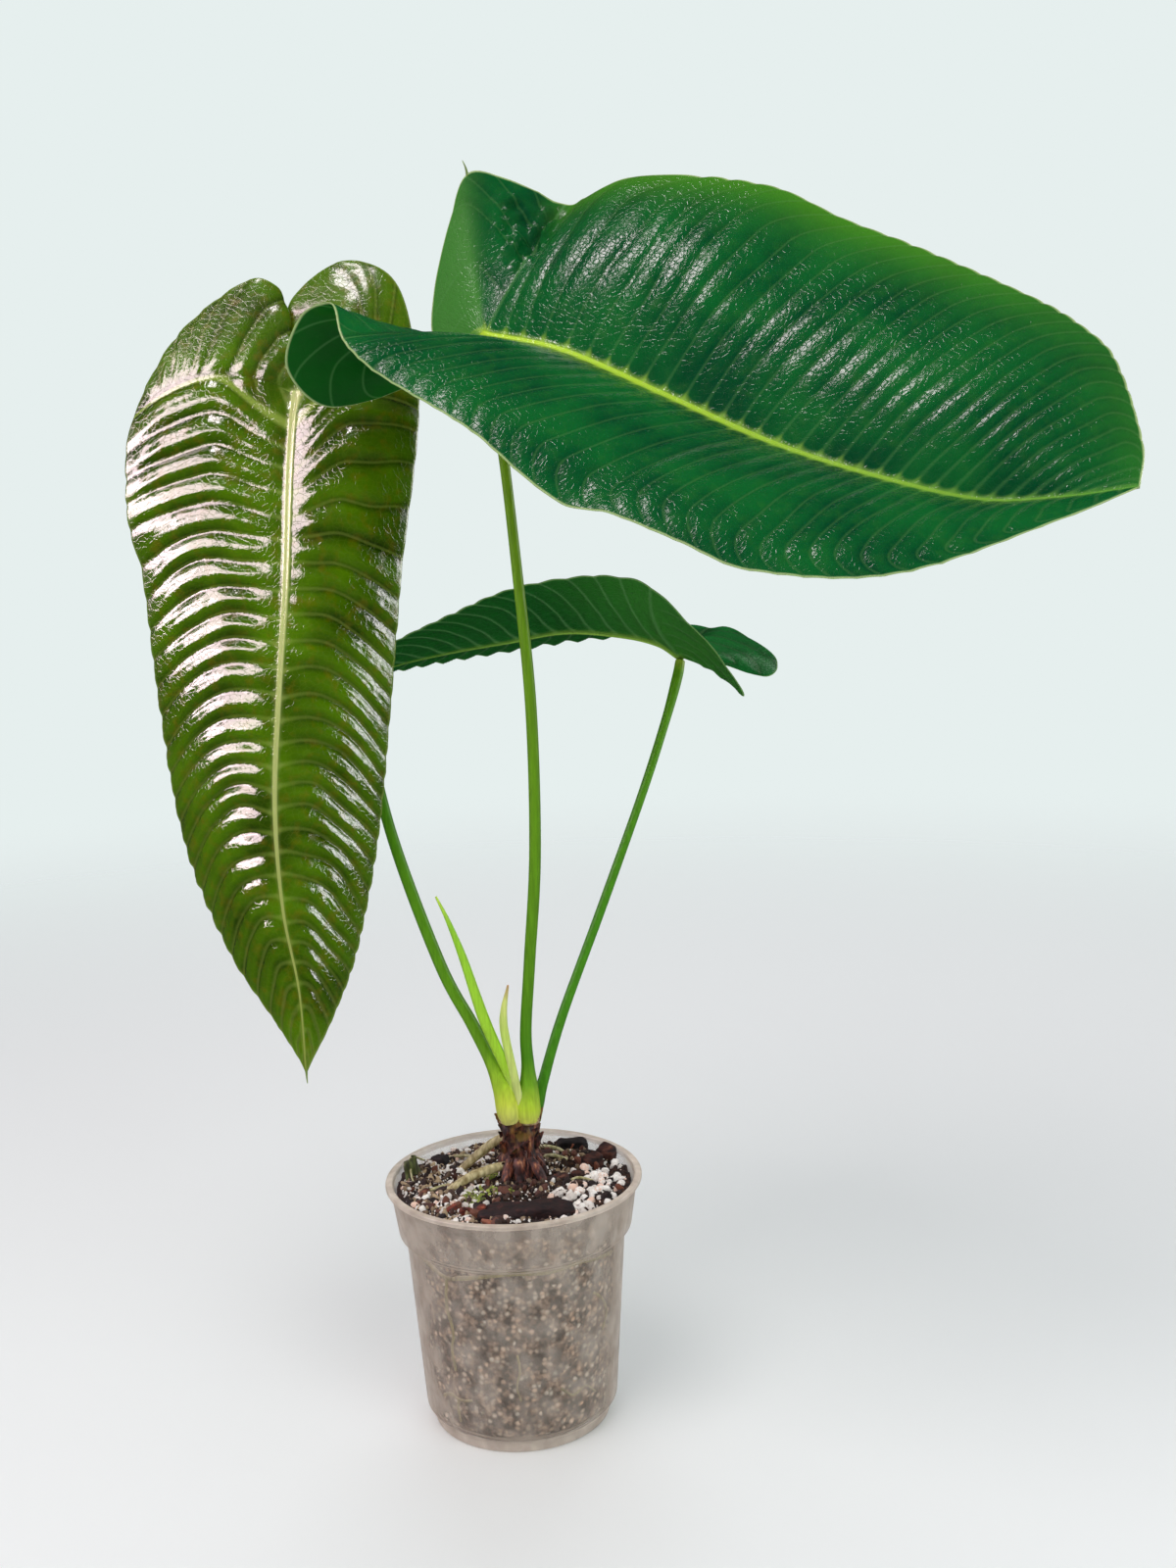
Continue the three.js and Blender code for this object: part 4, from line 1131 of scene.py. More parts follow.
def stalkFinish(name, stops):
    finish, add, setShader = newFinish(name)
    spot = add("TexCoord").outputs["Object"]
    length = add("Attribute", attribute_name="length").outputs["Fac"]
    ramp = add("ValToRGB", {0: length}, stops=stops).outputs[0]
    # streaks about 1 mm wide and 17 mm long run along the stalk
    stretched = add("Mapping", {"Vector": spot, "Scale": patternScale(1.111, 1.111, 16.67)}).outputs[0]
    streaks = add("TexNoise", {"Vector": stretched, "Scale": 1.0, "Detail": 3.0}).outputs[0]
    shade = add("MapRange", {0: streaks, 1: 0.3, 2: 0.7, 3: 0.82, 4: 1.12}).outputs[0]
    raised = {"Height": streaks, "Distance": 0.25 * mm, "Strength": 0.5}
    setShader(
        {
            "Base Color": add("VectorMath", {0: ramp, "Scale": shade}, operation="SCALE").outputs[0],
            "Normal": add("Bump", raised).outputs[0],
            "Roughness": 0.45,
            "Specular IOR Level": 0.18,
            "Subsurface Weight": 0.15,
            "Subsurface Radius": (1.0 * mm, 1.6 * mm, 0.4 * mm),
            "Subsurface Scale": 1.0,
        }
    )
    return finish


for name, stalk in stalks.items():
    sides, steps = stalkMesh["sides"], stalkMesh["steps"]
    points, faces, length = tube(stalk["rows"], sides, steps, stalk["flat"], stalkShape)
    finish = stalkFinish(name + " skin", stalkLooks[name])
    piece = newPiece(name + "_skin", points, faces, finish, {"length": length})
    settle(piece, stalk["slot"], name)

# The drip tip of the hanging leaf, and the hair where the right leaf's far lobe folds: slot and rows.
threads = {
    "drip_tip": (
        "leaf_bronze",
        [[-88, -35.4, 184, 0.7], [-87.9, -36, 180, 0.45], [-87.7, -36.2, 176.5, 0.2]],
    ),
    "lobe_hair": (
        "leaf_green",
        [[-4.6, 40, 572.5, 0.8], [-5.4, 40, 577, 0.45], [-6.8, 40, 580.5, 0.15]],
    ),
}
for name, (slot, rows) in threads.items():
    points, faces, length = tube(rows, 8, 12)
    finish = stalkFinish(name.replace("_", " "), stalkLooks["thread"])
    settle(newPiece(name, points, faces, finish, {"length": length}), slot)
print("stalks made")

stem = {
    "foot": [3, 9],
    "profile": [
        [88, 3],
        [100, 7],
        [110, 11.5],
        [114, 10.5],
        [121, 8.2],
        [129, 7.4],
        [136, 8.2],
        [141, 7.6],
        [144.5, 4.5],
    ],
}


def barkFinish(name, dark, light, roughness):
    # Woody skin: fibres 2 mm wide and 8 mm long run along Z, broken into short flakes, with no shine.
    finish, add, setShader = newFinish(name)
    spot = add("TexCoord").outputs["Object"]
    stretched = add("Mapping", {"Vector": spot, "Scale": patternScale(2, 2, 8.333)}).outputs[0]
    fibres = add("TexNoise", {"Vector": stretched, "Scale": 1.0, "Detail": 6.0}).outputs[0]
    blend = add("MapRange", {0: fibres, 1: 0.35, 2: 0.68}).outputs[0]
    colour = add("Mix", {0: blend, 6: linear(dark), 7: linear(light)}, data_type="RGBA").outputs[2]
    bump = add("Bump", {"Height": fibres, "Distance": 0.8 * mm, "Strength": 0.8}).outputs[0]
    setShader({"Base Color": colour, "Normal": bump, "Roughness": roughness})
    return finish


rootFinish = barkFinish("old root", "#8c7a4a", "#dacd9e", 0.7)


def stemShape(angle, share):
    knobs = 1 + 0.09 * np.sin(3 * angle + 9 * share) + 0.07 * np.sin(5 * angle - 14 * share)
    fibre = noise(np.cos(angle) * 4 + 9, np.sin(angle) * 4 + 9, share * 14, 8) * 0.09
    return knobs + fibre


# Stem skin: fibres run along Z and break into short flakes, with olive patches where it is alive.
stemFinish, add, setShader = newFinish("fibrous stem")
spot = add("TexCoord").outputs["Object"]
stretched = add("Mapping", {"Vector": spot, "Scale": patternScale(1.786, 1.786, 6.667)}).outputs[0]
fibres = add("TexNoise", {"Vector": stretched, "Scale": 1.0, "Detail": 6.0}).outputs[0]
stops = [(0.34, "#140806"), (0.48, "#45201a"), (0.6, "#7a3e2a"), (0.74, "#c08458")]
woody = add("ValToRGB", {0: fibres}, stops=stops).outputs[0]
patch = add("TexNoise", {"Vector": spot, "Scale": 1 / (6.667 * mm), "Detail": 2.0}).outputs[0]
level = add("SeparateXYZ", {0: spot}).outputs["Z"]
upper = add("MapRange", {0: level, 1: 121 * mm, 2: 132 * mm}).outputs[0]
patch = add("MapRange", {0: patch, 1: 0.5, 2: 0.62, 3: 0.0, 4: 0.4}).outputs[0]
patch = add("Math", {0: patch, 1: upper}, operation="MULTIPLY").outputs[0]
colour = add("Mix", {0: patch, 6: woody, 7: linear("#a8862c")}, data_type="RGBA").outputs[2]
bump = add("Bump", {"Height": fibres, "Distance": 0.9 * mm, "Strength": 0.9}).outputs[0]
setShader({"Base Color": colour, "Normal": bump, "Roughness": 0.7})

# What dresses the stem. A husk is the dry papery remains of an old sheath, a curled shred.
stemDress = {
    # bearing in degrees and height
    "husks": [
        *([176, 139], [-8, 140], [205, 127], [-110, 125], [-20, 129]),
        *([140, 131], [70, 128], [-65, 116], [-150, 117], [110, 120]),
    ],
    "smallHusks": [
        *([-45, 134], [-135, 133], [20, 121], [45, 136], [-95, 137]),
        *([165, 122], [-175, 132], [5, 133], [95, 138], [-75, 129]),
    ],
    # bearing in degrees and reach
    "braces": [[-48, 17], [-128, 15], [80, 14], [-95, 12], [-10, 13], [160, 12]],
    # fine dead rootlets and threads of husk, drawn twice as thick as they are so that they show
    "fibres": 46,
    # the dried pale edge of each sheath, where it parts from the stem
    "collars": [
        [[-1.2, 6.3, 140.5, 4.6], [-1.4, 6.2, 142.5, 5.1], [-1.7, 6.1, 144.5, 4.9]],
        [[7.1, 5.6, 140.0, 5.0], [7.2, 5.5, 142.0, 5.6], [7.3, 5.5, 144.0, 5.5]],
    ],
}
footX, footY = stem["foot"]


def onStem(bearing, reach, height, radius):
    turn = math.radians(bearing)
    return [footX + reach * math.cos(turn), footY + reach * math.sin(turn), height, radius]


def shred(bearing, height, size):
    return [
        onStem(bearing, 3, height - 4 * size, 3 * size),
        onStem(bearing, 7.4, height, 2.6 * size),
        onStem(bearing + 6, 7.4 + 1.8 * size, height + 2.5 * size, 1.7 * size),
        onStem(bearing + 14, 8 + 3.4 * size, height + 5 * size, 0.4 * size),
    ]


def knotty(seed):
    def shape(angle, share):
        knots = 0.16 * noise(np.cos(angle) * 1.6 + 5, np.sin(angle) * 1.6 + 5, share * 7, seed)
        return 1 + knots + 0.07 * noise(np.cos(angle) * 4 + 5, np.sin(angle) * 4 + 5, share * 20, seed + 1)

    return shape


core = [[footX, footY, height, radius] for height, radius in stem["profile"]]
shapes = [tube(core, 72, 110, 1.0, stemShape)]
for i, (bearing, height) in enumerate(stemDress["husks"]):
    shapes.append(tube(shred(bearing, height, 1.0), 18, 26, 0.3, knotty(80 + i)))
for i, (bearing, height) in enumerate(stemDress["smallHusks"]):
    shapes.append(tube(shred(bearing, height, 0.72), 14, 20, 0.25, knotty(95 + i)))
for i, (bearing, reach) in enumerate(stemDress["braces"]):
    rows = [
        onStem(bearing, 2, 124, 2.4),
        onStem(bearing, 8, 121, 2.6),
        onStem(bearing + 5, reach * 0.8, 115, 2.3),
        onStem(bearing + 9, reach, 108, 1.6),
    ]
    shapes.append(tube(rows, 18, 36, 1.0, knotty(120 + i)))
for i in range(stemDress["fibres"]):
    lot = [float(noise(i * 1.7 + 0.3, k * 2.3 + 0.6, 0.5, 140)) for k in range(5)]
    bearing = i * 360 / stemDress["fibres"] + 20 * lot[0]
    height = 121 + 15 * lot[1]
    rows = [
        onStem(bearing, 6.5, height, 0.35),
        onStem(bearing + 10 * lot[2], 9.0 + lot[3], height + 2.5 * lot[4], 0.3),
        onStem(bearing + 22 * lot[2], 11.0 + 2.5 * lot[3], height - 3 + 4 * lot[4], 0.16),
    ]
    shapes.append(tube(rows, 5, 8))
points, faces = joined(shapes)
settle(newPiece("stem_core", points, faces, stemFinish), "stem", "stem")

shapes = [tube(rows, 40, 16, 1.0, knotty(160 + i)) for i, rows in enumerate(stemDress["collars"])]
points, faces = joined(shapes)
collarFinish = barkFinish("dried sheath", "#8a5a34", "#e2cf9c", 0.7)
settle(newPiece("sheath_collars", points, faces, collarFinish), "petiole")

surfaceRoots = {
    "surface_root_upper": [
        [-4, 9, 132, 1.8],
        [-11, 12, 127, 2.1],
        [-19, 15, 119.8, 2.1],
        [-27, 17, 112, 1.6],
    ],
    "surface_root_lower": [
        [-4, 4, 119.5, 1.8],
        [-12, 0, 119, 2.2],
        [-22, -5, 117, 2.1],
        [-33, -11, 111.5, 1.6],
    ],
}
for name, rows in surfaceRoots.items():
    points, faces, _ = tube(rows, 24, 60, 1.0, knotty(170 + len(name)))
    settle(newPiece(name + "_skin", points, faces, rootFinish), "root", name)
print("stem and roots made")

# The pot: its profile in rows of [radius, height], and the ring of drain holes in its floor.
pot = {
    "outside": [
        *([41.6, 0], [42.1, 4.6], [45.4, 8.5], [51.4, 90.6]),
        *([54.6, 93], [57.8, 114.6], [60, 114.6], [60, 116.8]),
    ],
    "inside": [[56.7, 116.8], [53.5, 93.6], [50.3, 91.2], [44.3, 9.1], [40.5, 5.7]],
    "floor": [[38.6, 4.1], [21, 4.1], [20, 1.1], [0, 1.1]],
    "under": [[0, 0], [22, 0], [23, 3], [37.6, 3], [38.6, 0]],
    "corner": 0.8,
    "segments": 144,
    "drainHoles": 6,
    "drainRadius": 3.2,
    "drainRing": 30.3,
}


def softened(profile, reach):
    # Rounds every corner of a profile with a short curve.
    path = [profile[0]]
    for before, corner, after in zip(profile, profile[1:], profile[2:]):
        here, back, ahead = (np.array(p, float) for p in (corner, before, after))
        sides = (back - here, ahead - here)
        cut = [min(reach, 0.4 * np.linalg.norm(d)) * d / np.linalg.norm(d) for d in sides]
        for t in np.linspace(0, 1, 5):
            path.append((here + cut[0] * (1 - t) ** 2 + cut[1] * t**2).tolist())
    return path + [profile[-1]]


def turned(profile, segments, move=None):
    # Turns a profile that starts and ends on the axis into a closed shell. Move shifts its points.
    turnAt = np.arange(segments) / segments * 2 * math.pi
    rings = np.array(profile[1:-1], float)
    radius, level = np.repeat(rings[:, 0], segments), np.repeat(rings[:, 1], segments)
    angle = np.tile(turnAt, len(rings))
    points = np.stack([radius * np.cos(angle), radius * np.sin(angle), level], 1)
    if move:
        points = move(points, radius, angle)
    faces = []
    for ring in range(len(rings) - 1):
        for turn in range(segments):
            here, there = ring * segments + turn, ring * segments + (turn + 1) % segments
            faces.append([here, there, there + segments, here + segments])
    start, end = len(points), len(points) + 1
    last = (len(rings) - 1) * segments
    for turn in range(segments):
        after = (turn + 1) % segments
        faces.append([start, after, turn])
        faces.append([end, last + turn, last + after])
    poles = np.array([[0, 0, profile[0][1]], [0, 0, profile[-1][1]]], float)
    return np.vstack([points, poles]), faces


def cutWith(piece, cutter):
    # Takes the cutter's shape out of the piece for good.
    change = piece.modifiers.new("holes", "BOOLEAN")
    change.object = cutter
    change.solver = "EXACT"
    graph = bpy.context.evaluated_depsgraph_get()
    mesh = bpy.data.meshes.new_from_object(piece.evaluated_get(graph))
    piece.modifiers.clear()
    piece.data = mesh
    bpy.data.objects.remove(cutter)


# Frosted polypropylene, moulded thin: it whitens at its edges, where more of it is looked through, and
# carries a dried film of lime in streaks.
potFinish, add, setShader = newFinish("frosted polypropylene")
spot = add("TexCoord").outputs["Object"]
streaky = add("Mapping", {"Vector": spot, "Scale": patternScale(9.091, 9.091, 11.76)}).outputs[0]
film = add("TexNoise", {"Vector": streaky, "Scale": 1.0, "Detail": 4.0}).outputs[0]
fine = add("Mapping", {"Vector": spot, "Scale": patternScale(1.429, 1.429, 11.11)}).outputs[0]
scratches = add("TexNoise", {"Vector": fine, "Scale": 1.0, "Detail": 3.0}).outputs[0]
haze = add("MapRange", {0: film, 1: 0.36, 2: 0.64, 3: 0.09, 4: 0.25}).outputs[0]
level = add("SeparateXYZ", {0: spot}).outputs["Z"]
# the rim band, the lip and the foot are milkier than the wall: two heights, and the haze at each
for low, high, lowHaze, highHaze in ((91, 95, 0.0, 0.1), (114.2, 115, 0.0, 0.35), (4.5, 8, 0.4, 0.0)):
    more = add("MapRange", {0: level, 1: low * mm, 2: high * mm, 3: lowHaze, 4: highHaze}).outputs[0]
    haze = add("Math", {0: haze, 1: more}, operation="ADD").outputs[0]
slant = add("LayerWeight", {"Blend": 0.5}).outputs["Facing"]
slant = add("Math", {0: slant, 1: 3.0}, operation="POWER").outputs[0]
haze = add("Math", {0: slant, 1: 0.7, 2: haze}, operation="MULTIPLY_ADD", use_clamp=True).outputs[0]
clean, limy = linear("#bda898"), linear("#efe4d8")
plastic = add("Mix", {0: film, 6: clean, 7: limy}, data_type="RGBA").outputs[2]
gloss = add("MapRange", {0: scratches, 1: 0.3, 2: 0.7, 3: 0.3, 4: 0.5}).outputs[0]
bump = add("Bump", {"Height": scratches, "Distance": 0.12 * mm, "Strength": 0.6}).outputs[0]
setShader({"Alpha": haze, "Base Color": plastic, "Roughness": gloss, "Normal": bump, "IOR": 1.49})

profile = softened([*pot["under"], *pot["outside"], *pot["inside"], *pot["floor"]], pot["corner"])
points, faces = turned(profile, pot["segments"])
shell = newPiece("pot_shell", points, faces, potFinish)
plug = [[0, 1], [pot["drainRadius"], 1], [pot["drainRadius"], 6], [0, 6]]
plugPoints, plugFaces = turned(plug, 24)
plugs = []
for hole in range(pot["drainHoles"]):
    angle = hole / pot["drainHoles"] * 2 * math.pi
    middle = [pot["drainRing"] * math.cos(angle), pot["drainRing"] * math.sin(angle), 0]
    plugs.append([plugPoints + middle, plugFaces])
cutWith(shell, newPiece("drill", *joined(plugs), potFinish))
shell.data.polygons.foreach_set("use_smooth", [True] * len(shell.data.polygons))
shell.visible_shadow = False
settle(shell, "pot_plastic", "pot")

mix = {
    "level": 111.6,
    "frontRise": 2,
    "stemSwell": 2.2,
    "roughness": 1.3,
    "topRadius": 55.0,
    "gap": 0.6,
    "sides": 220,
    "sideRows": 90,
    "topRows": 64,
    # the dark hollow round the bark chunk at the front: middle, reach along X and Y, and depth
    "hollow": ((8, -31), (23, 13), 4.0),
}


def mixTop(x, y):
    # The mix swells round the stem, has low lumps and rises a little to the front.
    swell = mix["stemSwell"] * np.exp(-(np.hypot(x - footX, y - footY) / 15) ** 2)
    lumps = np.sin(0.31 * x + 1.3) * np.cos(0.27 * y - 0.4) + 0.6 * np.sin(0.71 * x - 0.53 * y + 2.1)
    rise = mix["frontRise"] * smooth((57.8 - y) / 115.6)
    return mix["level"] + rise + swell + mix["roughness"] * 0.6 * lumps


def hollow(x, y):
    (middleX, middleY), (reachX, reachY), _ = mix["hollow"]
    return 1 - smooth((np.hypot((x - middleX) / reachX, (y - middleY) / reachY) - 0.55) / 0.5)


def soilTop(x, y):
    crumbs = 0.9 * noise(x / 3.4, y / 3.4, 0, 31) + 0.55 * noise(x / 1.5, y / 1.5, 0, 32)
    return mixTop(x, y) + crumbs - mix["hollow"][2] * hollow(x, y)


# the side of the soil: the pot's inside, less the gap, with crumbs and small caves
inside = np.array(pot["inside"][::-1])
sideLevels = np.linspace(inside[0][1] + 0.6, 109.5, mix["sideRows"])
sideRadii = np.interp(sideLevels, inside[:, 1], inside[:, 0]) - mix["gap"]
topShares = 1 - (np.arange(1, mix["topRows"]) / mix["topRows"]) ** 0.9
soilProfile = (
    [[0, 5.2], [30, 5.2]]
    + [[float(r), float(z)] for r, z in zip(sideRadii, sideLevels)]
    + [[float(mix["topRadius"] * share), 200.0] for share in [0.998, *topShares]]
    + [[0, 200.0]]
)


def placeSoil(points, radius, angle):
    x, y, z = points.T
    onTop = z > 150
    around = np.cos(angle), np.sin(angle)
    dents = noise(around[0] * 14, around[1] * 14, z / 4.5, 41)
    dents = dents + 0.5 * noise(around[0] * 30, around[1] * 30, z / 2, 42)
    inward = np.where(onTop | (z < 6), 0, 0.55 * np.clip(dents + 0.5, 0, 2))
    out = radius - inward
    return np.stack([out * around[0], out * around[1], np.where(onTop, soilTop(x, y), z)], 1)


points, faces = turned(soilProfile, mix["sides"], placeSoil)
points[-1, 2] = soilTop(0.0, 0.0)
# Peat, bark and perlite: black-brown and matt on top. Behind the wall it is moist, browner and blotched.
soilFinish, add, setShader = newFinish("peat and bark mix")
spot = add("TexCoord").outputs["Object"]
level = add("SeparateXYZ", {0: spot}).outputs["Z"]
onTop = add("MapRange", {0: level, 1: 107 * mm, 2: 109 * mm}).outputs[0]
crumbs = add("TexNoise", {"Vector": spot, "Scale": 1 / (1.923 * mm), "Detail": 5.0}).outputs[0]
topBlend = add("MapRange", {0: crumbs, 1: 0.4, 2: 0.75}).outputs[0]
peat, fibre = linear("#0d0806"), linear("#4a2f20")
topColour = add("Mix", {0: topBlend, 6: peat, 7: fibre}, data_type="RGBA").outputs[2]
tall = add("Mapping", {"Vector": spot, "Scale": patternScale(4.348, 4.348, 5)}).outputs[0]
blotches = add("TexNoise", {"Vector": tall, "Scale": 1.0, "Detail": 3.5, "Roughness": 0.6}).outputs[0]
stops = [(0.34, "#150d09"), (0.46, "#2e2018"), (0.54, "#5e4a3c"), (0.62, "#8d7563"), (0.74, "#b09a88")]
sideColour = add("ValToRGB", {0: blotches}, stops=stops).outputs[0]
# grains of perlite about 2 mm across press against the wall, in some of the cells
cells = {"Vector": spot, "Scale": 1 / (2.632 * mm), "Randomness": 1.0}
grains = add("TexVoronoi", cells, feature="F1").outputs
grain = add("MapRange", {0: grains["Distance"], 1: 0.15, 2: 0.65, 3: 1.0, 4: 0.0}).outputs[0]
cell = add("SeparateColor", {0: grains["Color"]}).outputs
chosen = add("MapRange", {0: cell[0], 1: 0.3, 2: 1.0, 3: 0.0, 4: 0.85}).outputs[0]
grain = add("Math", {0: grain, 1: chosen}, operation="MULTIPLY").outputs[0]
stained, chalky = linear("#f0c8a8"), linear("#f4ecdc")
grainColour = add("Mix", {0: cell[1], 6: stained, 7: chalky}, data_type="RGBA").outputs[2]
sideColour = add("Mix", {0: grain, 6: sideColour, 7: grainColour}, data_type="RGBA").outputs[2]
colour = add("Mix", {0: onTop, 6: sideColour, 7: topColour}, data_type="RGBA").outputs[2]
bump = add("Bump", {"Height": crumbs, "Distance": 1.0 * mm, "Strength": 0.8}).outputs[0]
setShader({"Base Color": colour, "Normal": bump, "Roughness": 0.9, "Specular IOR Level": 0.25})
soil = newPiece("soil_body", points, faces, soilFinish)
settle(soil, "potting_mix", "potting_mix")
print("pot and soil made")

# Perlite is blown glass, so it is chalk white and pitted. Peat is black-brown fibre. Bark is woody.
grainLooks = {
    # name, roughness, size of the grit, depth of the bump, then the colours from dark to light
    "perlite": (
        *("expanded perlite", 0.95, 0.9, 0.3),
        [(0.0, "#cbc2bc"), (0.86, "#fbf7f4"), (0.97, "#ecc9b8")],
    ),
    "peat": ("peat crumb", 0.95, 1.2, 0.4, [(0.0, "#070403"), (1.0, "#3f2a1c")]),
    "bark": ("pine bark", 0.85, 1.6, 0.5, [(0.0, "#2a130c"), (0.86, "#6d3a22"), (0.97, "#94543a")]),
    "pale": ("weathered wood chip", 0.9, 1.0, 0.3, [(0.0, "#4a3626"), (1.0, "#b49c7c")]),
    "moss": ("moss and algae", 0.9, 0.8, 0.3, [(0.0, "#465216"), (1.0, "#a0ac48")]),
}


def grainFinish(name, roughness, gritSize, depth, stops):
    finish, add, setShader = newFinish(name)
    spot = add("TexCoord").outputs["Object"]
    tint = add("Attribute", attribute_name="tint").outputs["Fac"]
    grit = add("TexNoise", {"Vector": spot, "Scale": 1 / (gritSize * mm), "Detail": 3.0}).outputs[0]
    mixed = add("Math", {0: grit, 1: 0.45, 2: tint}, operation="MULTIPLY_ADD").outputs[0]
    mixed = add("MapRange", {0: mixed, 1: 0.2, 2: 1.2}).outputs[0]
    colour = add("ValToRGB", {0: mixed}, stops=stops).outputs[0]
    bump = add("Bump", {"Height": grit, "Distance": depth * mm, "Strength": 0.8}).outputs[0]
    setShader({"Base Color": colour, "Normal": bump, "Roughness": roughness})
    return finish


grainFinishes = {key: grainFinish(*look) for key, look in grainLooks.items()}


def scatterTree():
    # Grains on the faces of a surface: points by density, one rough pebble each, turned at random, then
    # melted into one mesh whose grains are all different.
    tree = bpy.data.node_groups.new("scatterGrains", "GeometryNodeTree")
    tree.interface.new_socket("Surface", in_out="INPUT", socket_type="NodeSocketGeometry")
    for name in ("Density", "Gap", "Small", "Large", "Rugged", "Sink", "Long"):
        tree.interface.new_socket(name, in_out="INPUT", socket_type="NodeSocketFloat")
    tree.interface.new_socket("Where", in_out="INPUT", socket_type="NodeSocketString")
    tree.interface.new_socket("Seed", in_out="INPUT", socket_type="NodeSocketInt")
    tree.interface.new_socket("Material", in_out="INPUT", socket_type="NodeSocketMaterial")
    tree.interface.new_socket("Grains", in_out="OUTPUT", socket_type="NodeSocketGeometry")
    add = partial(addNode, tree)
    given = add("NodeGroupInput").outputs
    share = add("GeometryNodeInputNamedAttribute", {"Name": given["Where"]}, data_type="FLOAT").outputs[0]
    spots = add(
        "GeometryNodeDistributePointsOnFaces",
        {
            "Mesh": given["Surface"],
            "Distance Min": given["Gap"],
            "Density Max": given["Density"],
            "Density Factor": share,
            "Seed": given["Seed"],
        },
        distribute_method="POISSON",
    ).outputs["Points"]
    pebble = add("GeometryNodeMeshIcoSphere", {"Radius": 1.0, "Subdivisions": 2}).outputs["Mesh"]
    sizes = {2: given["Small"], 3: given["Large"], "Seed": given["Seed"]}
    size = add("FunctionNodeRandomValue", sizes, data_type="FLOAT").outputs[1]
    stretch = add("CombineXYZ", {0: given["Long"], 1: 1.0, 2: 0.75}).outputs[0]
    scale = add("VectorMath", {0: stretch, "Scale": size}, operation="SCALE").outputs[0]
    anyTurn = {0: (0.0, 0.0, 0.0), 1: (6.28, 6.28, 6.28), "Seed": 5}
    turn = add("FunctionNodeRandomValue", anyTurn, data_type="FLOAT_VECTOR").outputs[0]
    placed = {"Points": spots, "Instance": pebble, "Rotation": turn, "Scale": scale}
    grains = add("GeometryNodeInstanceOnPoints", placed).outputs[0]
    sunk = add("Math", {0: size, 1: given["Sink"]}, operation="MULTIPLY").outputs[0]
    sunk = add("Math", {0: sunk, 1: -1.0}, operation="MULTIPLY").outputs[0]
    drop = add("CombineXYZ", {2: sunk}).outputs[0]
    grains = add("GeometryNodeTranslateInstances", {"Instances": grains, "Translation": drop}).outputs[0]
    tint = add("FunctionNodeRandomValue", {"Seed": 9}, data_type="FLOAT").outputs[1]
    grains = add(
        "GeometryNodeStoreNamedAttribute",
        {"Geometry": grains, "Name": "tint", "Value": tint},
        data_type="FLOAT",
        domain="INSTANCE",
    ).outputs[0]
    grains = add("GeometryNodeRealizeInstances", {"Geometry": grains}).outputs[0]
    # a rough offset, a share of the largest grain's radius, read from noise with 7 bumps in 10 mm
    offset = add("TexNoise", {"Scale": 1 / (10 / 7 * mm), "Detail": 1.0}).outputs["Color"]
    offset = add("VectorMath", {0: offset, 1: (0.5, 0.5, 0.5)}, operation="SUBTRACT").outputs[0]
    reach = add("Math", {0: given["Rugged"], 1: given["Large"]}, operation="MULTIPLY").outputs[0]
    offset = add("VectorMath", {0: offset, "Scale": reach}, operation="SCALE").outputs[0]
    grains = add("GeometryNodeSetPosition", {"Geometry": grains, "Offset": offset}).outputs[0]
    grains = add("GeometryNodeSetMaterial", {"Geometry": grains, "Material": given["Material"]}).outputs[0]
    add("NodeGroupOutput", {"Grains": grains})
    return tree


def grow(host, tree, name, settings):
    # Runs a node tree on the host and keeps its result as a plain mesh piece.
    change = host.modifiers.new("grow", "NODES")
    change.node_group = tree
    for socket in tree.interface.items_tree:
        if socket.in_out == "INPUT" and socket.name in settings:
            change[socket.identifier] = settings[socket.name]
    graph = bpy.context.evaluated_depsgraph_get()
    mesh = bpy.data.meshes.new_from_object(host.evaluated_get(graph))
    host.modifiers.clear()
    mesh.name = name
    piece = bpy.data.objects.new(name, mesh)
    bpy.context.scene.collection.objects.link(piece)
    return piece


# the host: the soil's top, in rings 1.5 mm apart
hostRings = np.arange(0, 54, 1.5)
hostTurns = 120
turnAt = np.arange(hostTurns) / hostTurns * 2 * math.pi
hx = np.outer(hostRings, np.cos(turnAt)).ravel()
hy = np.outer(hostRings, np.sin(turnAt)).ravel()
radius, bearing = np.hypot(hx, hy), np.degrees(np.arctan2(hy, hx))
fromStem = np.hypot(hx - footX, hy - footY)
clearSoil = smooth((fromStem - 9) / 3) * (1 - 0.9 * hollow(hx, hy))
patch = noise(hx / 7, hy / 7, 0, 51)
spots = {
    # middle, reach along X and Y, and how full it is
    "drift": [(20, -18, 10, 7, 1.0), (30, -20, 13, 12, 1.0), (48, 12, 9, 14, 0.5)],
    "moss": [(-13, 8, 8, 6, 1.0), (-5, -13, 11, 4, 1.0), (-19, -13, 8, 9, 0.9), (-18, -23, 6, 8, 0.8)],
}


def spotted(kind):
    total = 0 * hx
    for x, y, reachX, reachY, full in spots[kind]:
        total = total + full * (1 - smooth((np.hypot((hx - x) / reachX, (hy - y) / reachY) - 0.5) / 0.5))
    return total


